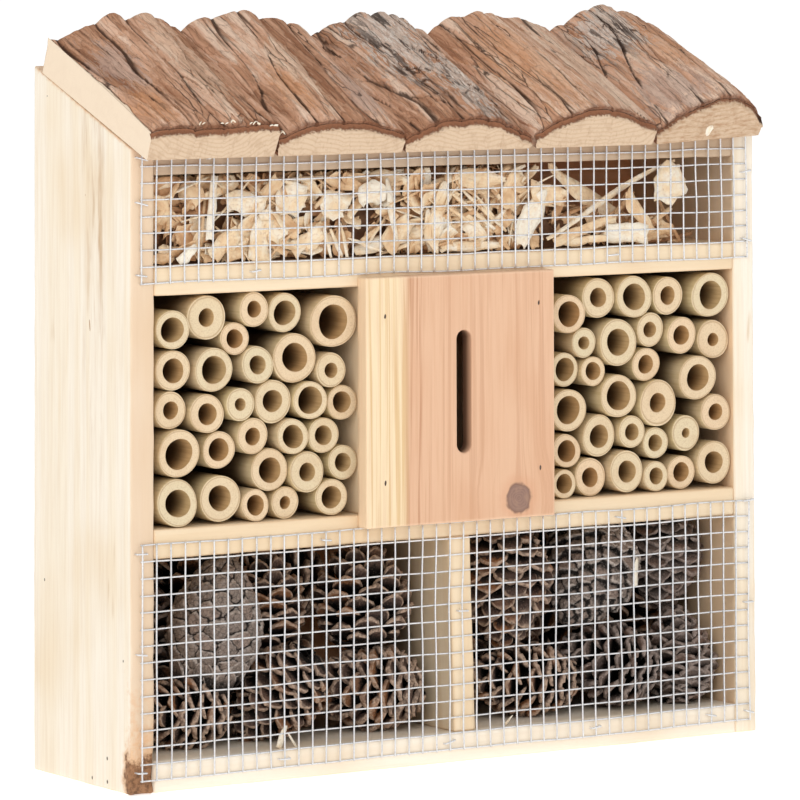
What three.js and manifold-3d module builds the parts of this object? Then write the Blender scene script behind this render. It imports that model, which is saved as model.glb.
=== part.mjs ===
// Insect hotel: a small wooden house on three tiers, open at the front. The lower tier holds pine cones
// behind wire mesh, the middle tier holds cane tubes on both sides of a slotted butterfly chamber, and the
// top tier holds wood chips behind wire mesh. Five half-log slabs with their bark lie on the sloping roof.
//
// Millimetres. +X is to the right seen from the front, the front faces -Y, +Z is up. The origin is the centre
// of the base, on the ground.

import * as THREE from 'three';
import { mergeVertices } from 'three/addons/utils/BufferGeometryUtils.js';
import Module from 'manifold-3d';

const wasm = await Module();
wasm.setup();

// ---- Driving dimensions ----

const WIDTH = 300;
const DEPTH = 78;
const SIDE_THICKNESS = 10.5;
const FRONT_HEIGHT = 249.5;
const BACK_HEIGHT = 280;
const BACK_PANEL_THICKNESS = 5;
const BOTTOM_THICKNESS = 12;
const SHELF_THICKNESS = 11.4;
const LOWER_SHELF_UNDERSIDE = 90;
const UPPER_SHELF_UNDERSIDE = 191.8;
const DECK_THICKNESS = 11;
const DIVIDER_THICKNESS = 10.5;
const EDGE_BEVEL = 0.6;

const CHAMBER_HALF_WIDTH = 44;
const PLATE_LEFT = -46;
const PLATE_RIGHT = 44.5;
const PLATE_BOTTOM = 96.4;
const PLATE_TOP = 195.6;
const PLATE_THICKNESS = 8;
const SLOT_WIDTH = 7;
const SLOT_CENTRE = 0.6;
const SLOT_BOTTOM = 124;
const SLOT_TOP = 173;

const WIRE_PITCH = 6.475;
const WIRE_WIDTH = 0.9;
const WIRE_DEPTH = 1.2;
const MESH_CELLS_ACROSS = 45;

const SLAB_LENGTH = 93;
const SLAB_OVERHANG = 17.5;
const REST_GAP = 0.3;

const CANE_SIDES = 10;
const CANE_SEPTUM = 4;
const CANE_CLEARANCE = 0.12;
const GLUE_HEIGHT = 4;

const CHIPS_SETBACK = 1.5;

// ---- Derived levels ----

const FRONT = -DEPTH / 2;
const REAR = DEPTH / 2;
const INNER = WIDTH / 2 - SIDE_THICKNESS;
const BACK_PANEL_FRONT = REAR - BACK_PANEL_THICKNESS;
const LOWER_SHELF_TOP = LOWER_SHELF_UNDERSIDE + SHELF_THICKNESS;
const UPPER_SHELF_TOP = UPPER_SHELF_UNDERSIDE + SHELF_THICKNESS;
const PLATE_FRONT = FRONT - PLATE_THICKNESS;
const ROOF_ANGLE = Math.atan2(BACK_HEIGHT - FRONT_HEIGHT, DEPTH);

const roofTopAt = (y) => FRONT_HEIGHT + (y - FRONT) * Math.tan(ROOF_ANGLE);

// ---- Colours ----

const wood = (color) => new THREE.MeshStandardMaterial({ color, roughness: 0.75, metalness: 0 });
const steel = (color) => new THREE.MeshStandardMaterial({ color, roughness: 0.35, metalness: 1 });

const paleFir = wood('#f0e0c0');
const frontFir = wood('#ecd2a4');
const pinkFir = wood('#e0ab7c');
const shadeFir = wood('#8f5f42');
const bark = wood('#9c6a4a');
const cane = wood('#dcc79a');
const chip = wood('#d9b787');
const greyCone = wood('#6d625a');
const brownCone = wood('#6a4632');
const galvanised = steel('#d4d7da');
const nailSteel = steel('#6f6c68');

// ---- Building blocks ----

const house = new THREE.Group();

function addMesh(name, geometry, material, parent = house) {
  const mesh = new THREE.Mesh(geometry, material.clone());
  mesh.name = name;
  parent.add(mesh);
  return mesh;
}

function toSolid(geometry) {
  const bare = geometry.clone();
  bare.deleteAttribute('normal');
  bare.deleteAttribute('uv');
  const merged = mergeVertices(bare, 1e-4);
  return new wasm.Manifold(new wasm.Mesh({
    numProp: 3,
    vertProperties: Float32Array.from(merged.attributes.position.array),
    triVerts: Uint32Array.from(merged.index.array),
  }));
}

function toGeometry(solid) {
  const { vertProperties, triVerts } = solid.getMesh();
  const geometry = new THREE.BufferGeometry();
  geometry.setAttribute('position', new THREE.BufferAttribute(Float32Array.from(vertProperties), 3));
  geometry.setIndex(new THREE.BufferAttribute(Uint32Array.from(triVerts), 1));
  geometry.computeVertexNormals();
  return geometry;
}

function polygon(points) {
  return new THREE.Shape(points.map(([a, b]) => new THREE.Vector2(a, b)));
}

// Extrudes a YZ outline along X between two X values, with a small bevel round both end faces.
function alongX(points, fromX, toX, bevel = EDGE_BEVEL) {
  const geometry = new THREE.ExtrudeGeometry(polygon(points), {
    depth: toX - fromX - 2 * bevel,
    bevelEnabled: bevel > 0,
    bevelThickness: bevel,
    bevelSize: bevel,
    bevelOffset: -bevel,
    bevelSegments: 1,
  });
  return geometry.rotateX(Math.PI / 2).rotateZ(Math.PI / 2).translate(fromX + bevel, 0, 0);
}

// Extrudes an XZ outline along Y between two Y values, with a small bevel round both end faces.
function alongY(points, fromY, toY, bevel = EDGE_BEVEL) {
  const geometry = new THREE.ExtrudeGeometry(polygon(points), {
    depth: toY - fromY - 2 * bevel,
    bevelEnabled: bevel > 0,
    bevelThickness: bevel,
    bevelSize: bevel,
    bevelOffset: -bevel,
    bevelSegments: 1,
  });
  return geometry.rotateX(Math.PI / 2).translate(0, toY - bevel, 0);
}

function rectangle(left, right, bottom, top) {
  return [[left, bottom], [right, bottom], [right, top], [left, top]];
}

// A round bar along Y, used for nail holes.
function barAlongY(radius, fromY, toY, x, z, sides = 8) {
  const bar = new THREE.CylinderGeometry(radius, radius, toY - fromY, sides);
  return bar.translate(x, (fromY + toY) / 2, z);
}

// ---- Frame boards ----

function addFrame() {
  const sideOutline = [[FRONT, 0], [REAR, 0], [REAR, BACK_HEIGHT], [FRONT, FRONT_HEIGHT]];
  addMesh('left_side_panel', alongX(sideOutline, -WIDTH / 2, -INNER), paleFir);
  addMesh('right_side_panel', alongX(sideOutline, INNER, WIDTH / 2), paleFir);

  const deckUnderside = (y) => roofTopAt(y) - DECK_THICKNESS;
  const deckOutline = [
    [FRONT, deckUnderside(FRONT)],
    [REAR, deckUnderside(REAR)],
    [REAR, roofTopAt(REAR)],
    [FRONT, roofTopAt(FRONT)],
  ];
  addMesh('roof_deck', alongX(deckOutline, -INNER, INNER, 0), frontFir);

  const backOutline = [
    [BACK_PANEL_FRONT, 0],
    [REAR, 0],
    [REAR, deckUnderside(REAR) - REST_GAP],
    [BACK_PANEL_FRONT, deckUnderside(BACK_PANEL_FRONT) - REST_GAP],
  ];
  addMesh('back_panel', alongX(backOutline, -INNER, INNER, 0), shadeFir);

  const shelf = (bottom, top) => alongY(rectangle(-INNER, INNER, bottom, top), FRONT, BACK_PANEL_FRONT);
  addMesh('bottom_board', shelf(0, BOTTOM_THICKNESS), frontFir);
  addMesh('lower_shelf', shelf(LOWER_SHELF_UNDERSIDE, LOWER_SHELF_TOP), frontFir);
  addMesh('upper_shelf', shelf(UPPER_SHELF_UNDERSIDE, UPPER_SHELF_TOP), frontFir);

  // The divider between the two pine-cone compartments stands slightly out of plumb.
  const dividerLean = 2.3;
  const dividerFoot = -0.5;
  const dividerOutline = [
    [dividerFoot, BOTTOM_THICKNESS],
    [dividerFoot + DIVIDER_THICKNESS, BOTTOM_THICKNESS],
    [dividerFoot + DIVIDER_THICKNESS - dividerLean, LOWER_SHELF_UNDERSIDE],
    [dividerFoot - dividerLean, LOWER_SHELF_UNDERSIDE],
  ];
  addMesh('cone_divider', alongY(dividerOutline, FRONT, BACK_PANEL_FRONT), frontFir);
}

// ---- Butterfly chamber: two dividers, the slotted plate and its four nails ----

const NAIL = { headRadius: 1.3, shankRadius: 0.7, headHeight: 0.4, length: 25, holeRadius: 1.1 };
const nailPlaces = [[-37, 180], [-37, 114], [37, 182.5], [37.5, 116]];

function nailHoles() {
  return nailPlaces.map(([x, z]) => toSolid(
    barAlongY(NAIL.holeRadius, PLATE_FRONT - 1, PLATE_FRONT + NAIL.length + 1, x, z),
  ));
}

function slotOutline() {
  const radius = SLOT_WIDTH / 2;
  const slot = new THREE.Shape();
  slot.absarc(0, SLOT_TOP - radius, radius, 0, Math.PI);
  slot.absarc(0, SLOT_BOTTOM + radius, radius, Math.PI, 2 * Math.PI);
  return slot;
}

function addChamber() {
  const holes = nailHoles();
  const drilled = (geometry) => toGeometry(
    holes.reduce((solid, hole) => solid.subtract(hole), toSolid(geometry)),
  );

  const dividerAt = (left) => alongY(
    rectangle(left, left + DIVIDER_THICKNESS, LOWER_SHELF_TOP, UPPER_SHELF_UNDERSIDE),
    FRONT,
    BACK_PANEL_FRONT,
  );
  addMesh('chamber_divider_left', drilled(dividerAt(-CHAMBER_HALF_WIDTH)), frontFir);
  addMesh('chamber_divider_right', drilled(dividerAt(CHAMBER_HALF_WIDTH - DIVIDER_THICKNESS)), frontFir);

  const plate = alongY(rectangle(PLATE_LEFT, PLATE_RIGHT, PLATE_BOTTOM, PLATE_TOP), PLATE_FRONT, FRONT, 1);
  const slotCutter = new THREE.ExtrudeGeometry(slotOutline(), {
    depth: PLATE_THICKNESS + 2,
    bevelEnabled: false,
    curveSegments: 6,
  });
  slotCutter.rotateX(Math.PI / 2).translate(SLOT_CENTRE, FRONT + 1, 0);
  addMesh('slot_plate', drilled(toGeometry(toSolid(plate).subtract(toSolid(slotCutter)))), pinkFir);

  nailPlaces.forEach(([x, z], index) => {
    const profile = [
      [0, -NAIL.headHeight],
      [NAIL.headRadius, -NAIL.headHeight],
      [NAIL.headRadius, 0],
      [NAIL.shankRadius, 0],
      [NAIL.shankRadius, NAIL.length - 2],
      [0, NAIL.length],
    ].map(([radius, along]) => new THREE.Vector2(radius, along));
    const nail = addMesh(`slot_plate_nail_${index + 1}`, new THREE.LatheGeometry(profile, 8), nailSteel);
    nail.position.set(x, PLATE_FRONT, z);
  });
}

// ---- Roof slabs ----

// Heights above the deck across each slab, left to right, at its front end and at its back end. The front end
// may be cut askew, with its right corner further back.
const slabs = [
  {
    front: { left: -150.5, right: -92.3, heights: [10, 11.5, 12, 12, 12, 12, 11.5, 10] },
    back: { left: -150.5, right: -90.3, heights: [11, 13, 17, 20.5, 18.5, 20.5, 18, 15] },
  },
  {
    front: { left: -91.9, right: -32.7, heights: [7, 10, 12, 12.7, 12.7, 12, 10, 7] },
    back: { left: -89.9, right: -28, heights: [15, 19, 19, 21, 19, 18, 16, 11.5] },
  },
  {
    front: { left: -32.3, right: 29, heights: [5, 9, 12, 13, 13, 11.5, 8, 4] },
    back: { left: -27.6, right: 29.6, heights: [10.5, 14.5, 17.5, 19, 18.5, 16.5, 13, 10.5] },
  },
  {
    front: { left: 30.5, right: 89.8, heights: [5, 10, 13.5, 15.5, 15.5, 14, 11, 8] },
    back: { left: 30, right: 91, heights: [12, 17.5, 18.5, 19, 17, 17.5, 15, 12] },
  },
  {
    front: { left: 90.4, right: 148, heights: [4.5, 9, 13, 16, 17.5, 17, 14, 7], skew: 6 },
    back: { left: 91.4, right: 149, heights: [12, 16, 19.5, 21, 20, 17.5, 14, 11] },
  },
];

// A slab in roof coordinates: X across, Y up the slope from the front end, Z square to the deck.
function slabGeometry({ front, back }) {
  const columns = front.heights.length;
  const rows = 4;
  const mix = THREE.MathUtils.lerp;
  const points = [];
  for (const isTop of [false, true]) {
    for (let row = 0; row < rows; row += 1) {
      const along = row / (rows - 1);
      const left = mix(front.left, back.left, along);
      const right = mix(front.right, back.right, along);
      for (let column = 0; column < columns; column += 1) {
        const height = mix(front.heights[column], back.heights[column], along);
        const across = column / (columns - 1);
        const start = (front.skew ?? 0) * across;
        points.push(mix(left, right, across), mix(start, SLAB_LENGTH, along), isTop ? height : 0);
      }
    }
  }
  const at = (layer, row, column) => (layer * rows + row) * columns + column;
  const faces = [];
  const quad = (a, b, c, d) => faces.push(a, b, c, a, c, d);
  for (let row = 0; row < rows - 1; row += 1) {
    for (let column = 0; column < columns - 1; column += 1) {
      quad(at(1, row, column), at(1, row, column + 1), at(1, row + 1, column + 1), at(1, row + 1, column));
      quad(at(0, row, column), at(0, row + 1, column), at(0, row + 1, column + 1), at(0, row, column + 1));
    }
    quad(at(0, row, 0), at(1, row, 0), at(1, row + 1, 0), at(0, row + 1, 0));
    const last = columns - 1;
    quad(at(0, row, last), at(0, row + 1, last), at(1, row + 1, last), at(1, row, last));
  }
  for (let column = 0; column < columns - 1; column += 1) {
    quad(at(0, 0, column), at(0, 0, column + 1), at(1, 0, column + 1), at(1, 0, column));
    const last = rows - 1;
    quad(at(0, last, column), at(1, last, column), at(1, last, column + 1), at(0, last, column + 1));
  }
  const geometry = new THREE.BufferGeometry();
  geometry.setAttribute('position', new THREE.Float32BufferAttribute(points, 3));
  geometry.setIndex(faces);
  geometry.computeVertexNormals();
  return geometry;
}

function addRoofSlabs() {
  const slope = new THREE.Group();
  slope.position.set(0, FRONT, FRONT_HEIGHT);
  slope.rotation.x = ROOF_ANGLE;
  house.add(slope);
  slabs.forEach((slab, index) => {
    const mesh = addMesh(`roof_slab_${index + 1}`, slabGeometry(slab), bark, slope);
    mesh.position.set(0, -SLAB_OVERHANG, REST_GAP);
  });
}

// ---- Wire mesh and staples ----

// Both edges of every kept wire along one direction, in order.
function wireEdges(start, cells, step) {
  const edges = [];
  for (let index = 0; index <= cells; index += step) {
    const centre = start + index * WIRE_PITCH;
    edges.push(centre - WIRE_WIDTH / 2, centre + WIRE_WIDTH / 2);
  }
  return edges;
}

// One welded grid in front of the boards, as small flat tiles: a tile is metal where an upright or a level
// wire runs, and an opening where neither does.
function gridGeometry(bottom, cellsUp, columnStep, rowStep) {
  const xs = wireEdges(-MESH_CELLS_ACROSS * WIRE_PITCH / 2, MESH_CELLS_ACROSS, columnStep);
  const zs = wireEdges(bottom, cellsUp, rowStep);
  const inside = (i, j) => i >= 0 && j >= 0 && i < xs.length - 1 && j < zs.length - 1;
  const isMetal = (i, j) => inside(i, j) && (i % 2 === 0 || j % 2 === 0);
  const points = [];
  for (const y of [FRONT - WIRE_DEPTH, FRONT]) {
    for (const z of zs) {
      for (const x of xs) points.push(x, y, z);
    }
  }
  const at = (layer, i, j) => (layer * zs.length + j) * xs.length + i;
  const faces = [];
  const quad = (a, b, c, d) => faces.push(a, b, c, a, c, d);
  for (let j = 0; j < zs.length - 1; j += 1) {
    for (let i = 0; i < xs.length - 1; i += 1) {
      if (!isMetal(i, j)) continue;
      const right = i + 1;
      const up = j + 1;
      quad(at(0, i, j), at(0, right, j), at(0, right, up), at(0, i, up));
      quad(at(1, i, j), at(1, i, up), at(1, right, up), at(1, right, j));
      if (!isMetal(i, j - 1)) quad(at(0, i, j), at(1, i, j), at(1, right, j), at(0, right, j));
      if (!isMetal(i, up)) quad(at(0, i, up), at(0, right, up), at(1, right, up), at(1, i, up));
      if (!isMetal(i - 1, j)) quad(at(0, i, j), at(0, i, up), at(1, i, up), at(1, i, j));
      if (!isMetal(right, j)) quad(at(0, right, j), at(1, right, j), at(1, right, up), at(0, right, up));
    }
  }
  const geometry = new THREE.BufferGeometry();
  geometry.setAttribute('position', new THREE.Float32BufferAttribute(points, 3));
  geometry.setIndex(faces);
  geometry.computeVertexNormals();
  return geometry;
}

const LOWER_MESH = { bottom: 5.2, cellsUp: 14 };
const UPPER_MESH = { bottom: 196.8, cellsUp: 8 };

// Each staple straddles one upright wire, counted from the left, in one row of cells, counted from the
// bottom.
const staples = [
  { mesh: LOWER_MESH, wire: 0, row: 13 },
  { mesh: LOWER_MESH, wire: 0, row: 0 },
  { mesh: LOWER_MESH, wire: 13, row: 13 },
  { mesh: LOWER_MESH, wire: 35, row: 13 },
  { mesh: LOWER_MESH, wire: 23, row: 8 },
  { mesh: LOWER_MESH, wire: 45, row: 0 },
  { mesh: UPPER_MESH, wire: 0, row: 7 },
  { mesh: UPPER_MESH, wire: 0, row: 0 },
  { mesh: UPPER_MESH, wire: 10, row: 7 },
  { mesh: UPPER_MESH, wire: 34, row: 7 },
  { mesh: UPPER_MESH, wire: 45, row: 5 },
];

const STAPLE = { width: 5, wire: 0.7, rise: 0.4 };

function stapleGeometry() {
  const half = STAPLE.width / 2;
  const inner = half - STAPLE.wire;
  const reach = WIRE_DEPTH + STAPLE.rise + STAPLE.wire;
  const bridge = WIRE_DEPTH + STAPLE.rise;
  const outline = polygon([
    [-half, 0], [-inner, 0], [-inner, bridge], [inner, bridge],
    [inner, 0], [half, 0], [half, reach], [-half, reach],
  ]);
  const geometry = new THREE.ExtrudeGeometry(outline, { depth: STAPLE.wire, bevelEnabled: false });
  return geometry.rotateX(Math.PI).translate(0, 0, STAPLE.wire / 2);
}

function addWireMeshes() {
  addMesh('lower_wire_mesh', gridGeometry(LOWER_MESH.bottom, LOWER_MESH.cellsUp, 3, 2), galvanised);
  addMesh('upper_wire_mesh', gridGeometry(UPPER_MESH.bottom, UPPER_MESH.cellsUp, 3, 2), galvanised);
  staples.forEach(({ mesh, wire, row }, index) => {
    const staple = addMesh(`staple_${index + 1}`, stapleGeometry(), galvanised);
    const x = (wire - MESH_CELLS_ACROSS / 2) * WIRE_PITCH;
    staple.position.set(x, FRONT, mesh.bottom + (row + 0.5) * WIRE_PITCH);
  });
}

// ---- Wood chips ----

function addWoodChips() {
  const clear = REST_GAP;
  // The heap fills the tier up to the deck on the left and slopes down to the right.
  const outline = [
    [-INNER + clear, UPPER_SHELF_TOP],
    [118, UPPER_SHELF_TOP],
    [114, 208],
    [72, 224],
    [38, 235],
    [-INNER + clear, 236.5],
  ];
  addMesh('wood_chips', alongY(outline, FRONT + CHIPS_SETBACK, BACK_PANEL_FRONT, 0), chip);
}

// ---- Pine cones ----

// Centre, length and largest diameter of each cone, and the direction from its base to its tip.
const cones = {
  left: [
    { at: [-98, -16, 62], length: 50, diameter: 35, tip: [0.1, -0.1, 1], colour: greyCone },
    { at: [-121, 12, 62], length: 46, diameter: 32, tip: [0.1, 0.2, 1], colour: greyCone },
    { at: [-116, -14, 26], length: 42, diameter: 27, tip: [-1, 0.1, 0.05], colour: brownCone },
    { at: [-72, -18, 29], length: 40, diameter: 32, tip: [-0.5, 0.3, -0.6], colour: brownCone },
    { at: [-64, 4, 65], length: 44, diameter: 32, tip: [0.1, 0.2, 1], colour: brownCone },
    { at: [-25, -8, 67], length: 42, diameter: 38, tip: [0.2, 0.3, 1], colour: brownCone },
    { at: [-29, -14, 29], length: 48, diameter: 33, tip: [-1, 0.25, 0.1], colour: brownCone },
  ],
  right: [
    { at: [39, -16, 64], length: 48, diameter: 38, tip: [0.1, 0.1, -1], colour: brownCone },
    { at: [83, -12, 66], length: 46, diameter: 37, tip: [-0.6, -0.2, -0.8], colour: greyCone },
    { at: [122.5, -11, 69], length: 40, diameter: 32, tip: [0.1, 0.2, -1], colour: greyCone },
    { at: [123, -20, 32], length: 38, diameter: 31, tip: [0, 0.1, 1], colour: greyCone },
    { at: [88, -19, 31], length: 40, diameter: 32, tip: [-0.8, 0.2, 0.3], colour: greyCone },
    { at: [44, -18, 27], length: 50, diameter: 28, tip: [-1, 0, 0.1], colour: brownCone },
    { at: [62, 16, 40], length: 48, diameter: 32, tip: [0.1, 0, 1], colour: brownCone },
  ],
};

// An egg-shaped body of revolution about Y, blunt at its base and narrower at its tip.
function coneGeometry(length, diameter) {
  const stations = 9;
  const profile = [];
  for (let index = 0; index <= stations; index += 1) {
    const along = index / stations;
    const radius = (diameter / 2) * Math.sin(Math.PI * along ** 0.75) ** 0.7;
    const onAxis = index === 0 || index === stations;
    profile.push(new THREE.Vector2(onAxis ? 0 : radius, (along - 0.5) * length));
  }
  return new THREE.LatheGeometry(profile, 12);
}

function addPineCones() {
  for (const [side, list] of Object.entries(cones)) {
    list.forEach(({ at, length, diameter, tip, colour }, index) => {
      const cone = addMesh(`pine_cone_${side}_${index + 1}`, coneGeometry(length, diameter), colour);
      cone.position.set(...at);
      const direction = new THREE.Vector3(...tip).normalize();
      cone.quaternion.setFromUnitVectors(new THREE.Vector3(0, 1, 0), direction);
    });
  }
}

// ---- Cane tubes ----

// Rows of canes that touch their neighbours: centre from the compartment's lower left corner, outer diameter
// and bore diameter.
const caneRows = {
  left: [
    [[9, 77, 15.5, 10], [25, 81, 17.5, 7], [46, 83, 14, 6.5], [61, 81.5, 16, 10], [83.5, 77, 22, 13.5]],
    [[9.5, 61, 16, 9.5], [28, 61, 17.5, 11], [39, 72, 13.5, 7.5], [48, 61.5, 15.5, 7.5], [65.5, 63, 20, 11.5],
      [82.5, 57.5, 14, 6]],
    [[9, 45.5, 15, 7], [25, 43.5, 16, 8.5], [40, 46, 13.5, 5], [55.5, 46.5, 17.5, 9], [73.5, 45, 16, 11],
      [88, 45, 14.5, 8.5]],
    [[12, 28.5, 19, 12], [31, 29, 15, 9], [46.5, 33, 14.5, 7], [64, 32, 15, 9.5], [79.5, 31, 15, 8]],
    [[53, 20, 17, 10], [70.5, 18, 16.5, 7.5], [88, 20, 14, 7.5]],
    [[11, 9.5, 19, 11], [31.5, 10, 18.5, 10], [47.5, 6.5, 13, 8], [62, 6.5, 13, 5], [83, 7.5, 15, 9]],
  ],
  right: [
    [[13, 75, 16.5, 10.5], [29, 81, 16.5, 8], [46, 80.5, 18, 11], [64, 80.5, 16, 7.5], [85, 80, 19.5, 11.5]],
    [[21, 63, 12.5, 5.5], [37.5, 62.5, 19.5, 11], [54.5, 67, 14.5, 6.5], [70, 64, 15.5, 8],
      [87, 61.5, 16.5, 5.5]],
    [[12.5, 52.5, 14.5, 9.5], [25, 51.5, 12.5, 7.5], [37.5, 40.5, 18.5, 12], [52.5, 53, 14, 7.5],
      [78, 46, 19, 11]],
    [[13, 36, 18, 11.5], [29, 24.5, 17.5, 9.5], [45, 25.5, 13.5, 7], [57.5, 36.5, 19.5, 8],
      [72.5, 23.5, 15, 4], [87, 31.5, 15.5, 7]],
    [[12.5, 19, 14.5, 9], [12, 6, 12, 8], [25.5, 8, 16, 8]],
    [[43, 8.5, 17.5, 9], [57, 20.5, 13, 7], [58, 7, 13, 7], [72, 7.5, 14.5, 8], [86, 9.5, 18, 9]],
  ],
};

// The mouths stand up to 2 mm behind one another, as hand-cut canes do.
function mouthOf(rowIndex, index) {
  const steps = (3 * index + 2 * rowIndex) % 5;
  return FRONT + 1 + 0.5 * steps;
}

// Pushes overlapping canes apart and back inside the compartment until they only touch.
function settle(canes, width, height) {
  const rounds = 600;
  for (let round = 0; round < rounds; round += 1) {
    for (const [index, a] of canes.entries()) {
      for (const b of canes.slice(index + 1)) {
        const dx = b.x - a.x;
        const dz = b.z - a.z;
        const distance = Math.hypot(dx, dz);
        const overlap = a.radius + b.radius + CANE_CLEARANCE - distance;
        if (overlap > 0) {
          const share = overlap / distance / 2;
          a.x -= dx * share;
          a.z -= dz * share;
          b.x += dx * share;
          b.z += dz * share;
        }
      }
      const reach = a.radius + CANE_CLEARANCE;
      a.x = THREE.MathUtils.clamp(a.x, reach, width - reach);
      a.z = THREE.MathUtils.clamp(a.z, reach, height - reach);
    }
  }
}

// A tube along Y from its open front mouth to the septum that closes its back end.
function caneGeometry({ x, z, radius, bore, mouth }) {
  const septum = BACK_PANEL_FRONT - CANE_SEPTUM;
  const profile = [
    [0, septum],
    [bore, septum],
    [bore, mouth],
    [radius, mouth],
    [radius, BACK_PANEL_FRONT],
    [0, BACK_PANEL_FRONT],
  ].map(([r, y]) => new THREE.Vector2(r, y));
  return new THREE.LatheGeometry(profile, CANE_SIDES).translate(x, 0, z);
}

// The dab of glue that joins two neighbours at their back ends.
function glueGeometry(a, b) {
  const depth = CANE_SEPTUM - 0.5;
  const span = Math.hypot(b.x - a.x, b.z - a.z);
  const bar = new THREE.BoxGeometry(span, depth, GLUE_HEIGHT);
  bar.rotateY(-Math.atan2(b.z - a.z, b.x - a.x));
  return bar.translate((a.x + b.x) / 2, BACK_PANEL_FRONT - depth / 2, (a.z + b.z) / 2);
}

function addCanes() {
  const width = INNER - CHAMBER_HALF_WIDTH;
  const height = UPPER_SHELF_UNDERSIDE - LOWER_SHELF_TOP;
  const corners = { left: -INNER, right: CHAMBER_HALF_WIDTH };
  for (const [side, rows] of Object.entries(caneRows)) {
    const settled = rows.map((row, rowIndex) => row.map(([x, z, outer, bore], index) => ({
      x,
      z,
      radius: outer / 2,
      bore: bore / 2,
      mouth: mouthOf(rowIndex, index),
    })));
    settle(settled.flat(), width, height);
    settled.forEach((row, rowIndex) => {
      const tubes = row.map((tube) => toSolid(caneGeometry(tube)));
      const glue = row.slice(1).map((tube, index) => toSolid(glueGeometry(row[index], tube)));
      const joined = [...tubes, ...glue].reduce((sum, piece) => sum.add(piece));
      const mesh = addMesh(`canes_${side}_row_${rowIndex + 1}`, toGeometry(joined), cane);
      mesh.position.set(corners[side], 0, LOWER_SHELF_TOP);
    });
  }
}

addFrame();
addChamber();
addRoofSlabs();
addWireMeshes();
addWoodChips();
addPineCones();
addCanes();

export default house;
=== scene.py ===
"""Insect hotel: the looks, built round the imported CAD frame.

A small fir house on three tiers: pine cones behind wire mesh, canes on both sides of a slotted plate, wood
chips behind wire mesh, and five half-log slabs on the roof. Metres, +Z up; the open front faces -Y. Places
and sizes are read from the CAD nodes; this file adds the fine shape and the materials.
"""

import math
import random

import bpy
import numpy as np
from mathutils import Matrix, Vector


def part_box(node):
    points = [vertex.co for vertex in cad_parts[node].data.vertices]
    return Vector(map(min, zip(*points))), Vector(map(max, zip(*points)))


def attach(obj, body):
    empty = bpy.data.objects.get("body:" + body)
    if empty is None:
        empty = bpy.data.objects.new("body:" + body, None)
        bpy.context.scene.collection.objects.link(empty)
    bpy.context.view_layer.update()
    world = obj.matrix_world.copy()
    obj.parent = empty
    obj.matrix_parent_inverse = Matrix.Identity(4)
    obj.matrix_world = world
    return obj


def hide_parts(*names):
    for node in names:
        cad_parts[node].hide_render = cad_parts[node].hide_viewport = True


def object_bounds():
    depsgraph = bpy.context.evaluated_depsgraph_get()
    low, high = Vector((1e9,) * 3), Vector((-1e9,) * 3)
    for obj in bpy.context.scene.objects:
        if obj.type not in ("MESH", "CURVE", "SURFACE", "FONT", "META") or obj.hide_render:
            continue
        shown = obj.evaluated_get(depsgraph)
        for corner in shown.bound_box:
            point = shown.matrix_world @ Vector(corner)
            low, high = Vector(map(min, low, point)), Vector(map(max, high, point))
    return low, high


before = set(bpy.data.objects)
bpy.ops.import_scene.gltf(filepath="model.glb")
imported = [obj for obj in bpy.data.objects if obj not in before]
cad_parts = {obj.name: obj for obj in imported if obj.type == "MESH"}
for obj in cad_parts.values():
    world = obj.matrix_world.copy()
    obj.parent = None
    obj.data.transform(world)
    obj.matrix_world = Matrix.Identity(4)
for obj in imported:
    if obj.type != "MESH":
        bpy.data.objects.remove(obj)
cad_low, cad_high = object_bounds()

MM = 0.001
BODY = "root"
TAU = 2 * math.pi
X, Y, Z = 0, 1, 2


# ---- Arrays ----


def beside(*values):
    """The values as the columns of one array; a single number fills its column."""
    return np.stack(np.broadcast_arrays(*values), axis=1)


def rising(distance, reach):
    """0 at no distance, 1 from the reach on."""
    return np.clip(distance / reach, 0, 1)


def falling(distance, reach):
    """1 at no distance, 0 from the reach on."""
    return np.clip(1 - distance / reach, 0, 1)


def hill(distance, reach):
    """1 at no distance, falling smoothly to about a third at the reach."""
    return np.exp(-((distance / reach) ** 2))


def circle(sides):
    """Evenly spaced angles round a circle."""
    return np.arange(sides) * TAU / sides


# ---- Noise on arrays of points ----

AXIS_PRIMES = np.array([374761393, 668265263, 2147483647])
SEED_PRIME = 974711
MIXING_PRIME = 1274126177
LOW_BITS = 0xFFFFFF


def lattice(cells, seed):
    """A repeatable value from -1 to 1 for each row of whole numbers."""
    mixed = cells.astype(np.int64) @ AXIS_PRIMES + seed * SEED_PRIME
    mixed = (mixed ^ (mixed >> 13)) * MIXING_PRIME
    mixed = (mixed ^ (mixed >> 16)) & LOW_BITS
    return mixed / (LOW_BITS >> 1) - 1.0


def smooth_noise(points, seed=0):
    """Smooth noise from -1 to 1 with one bump or so per unit of length."""
    base = np.floor(points)
    share = points - base
    share = share * share * (3 - 2 * share)
    total = np.zeros(len(points))
    for corner in range(8):
        step = np.array([corner & 1, corner >> 1 & 1, corner >> 2 & 1])
        weight = np.prod(np.where(step, share, 1 - share), axis=1)
        total += weight * lattice(base + step, seed)
    return total


def layered_noise(points, octaves, seed):
    """Smooth noise with finer and weaker layers added on top."""
    total = np.zeros(len(points))
    for octave in range(octaves):
        total += 0.5**octave * smooth_noise(points * 2**octave, seed + 31 * octave)
    return total


def hash_text(text):
    """A repeatable whole number for a text."""
    total = 0
    for letter in text:
        total = (total * 131 + ord(letter)) % 1000003
    return total


# ---- Meshes ----

# Directions that a ring's plane is worked out from; the second one is for nearly upright paths.
SLANTED_HELPER = [0.3, 0.2, 0.93]
LEVEL_HELPER = [0.9, 0.3, 0.1]
NEARLY_UPRIGHT = 0.9
CLOSED_END = 1e-6
WELD_REACH = 0.001 * MM


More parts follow.
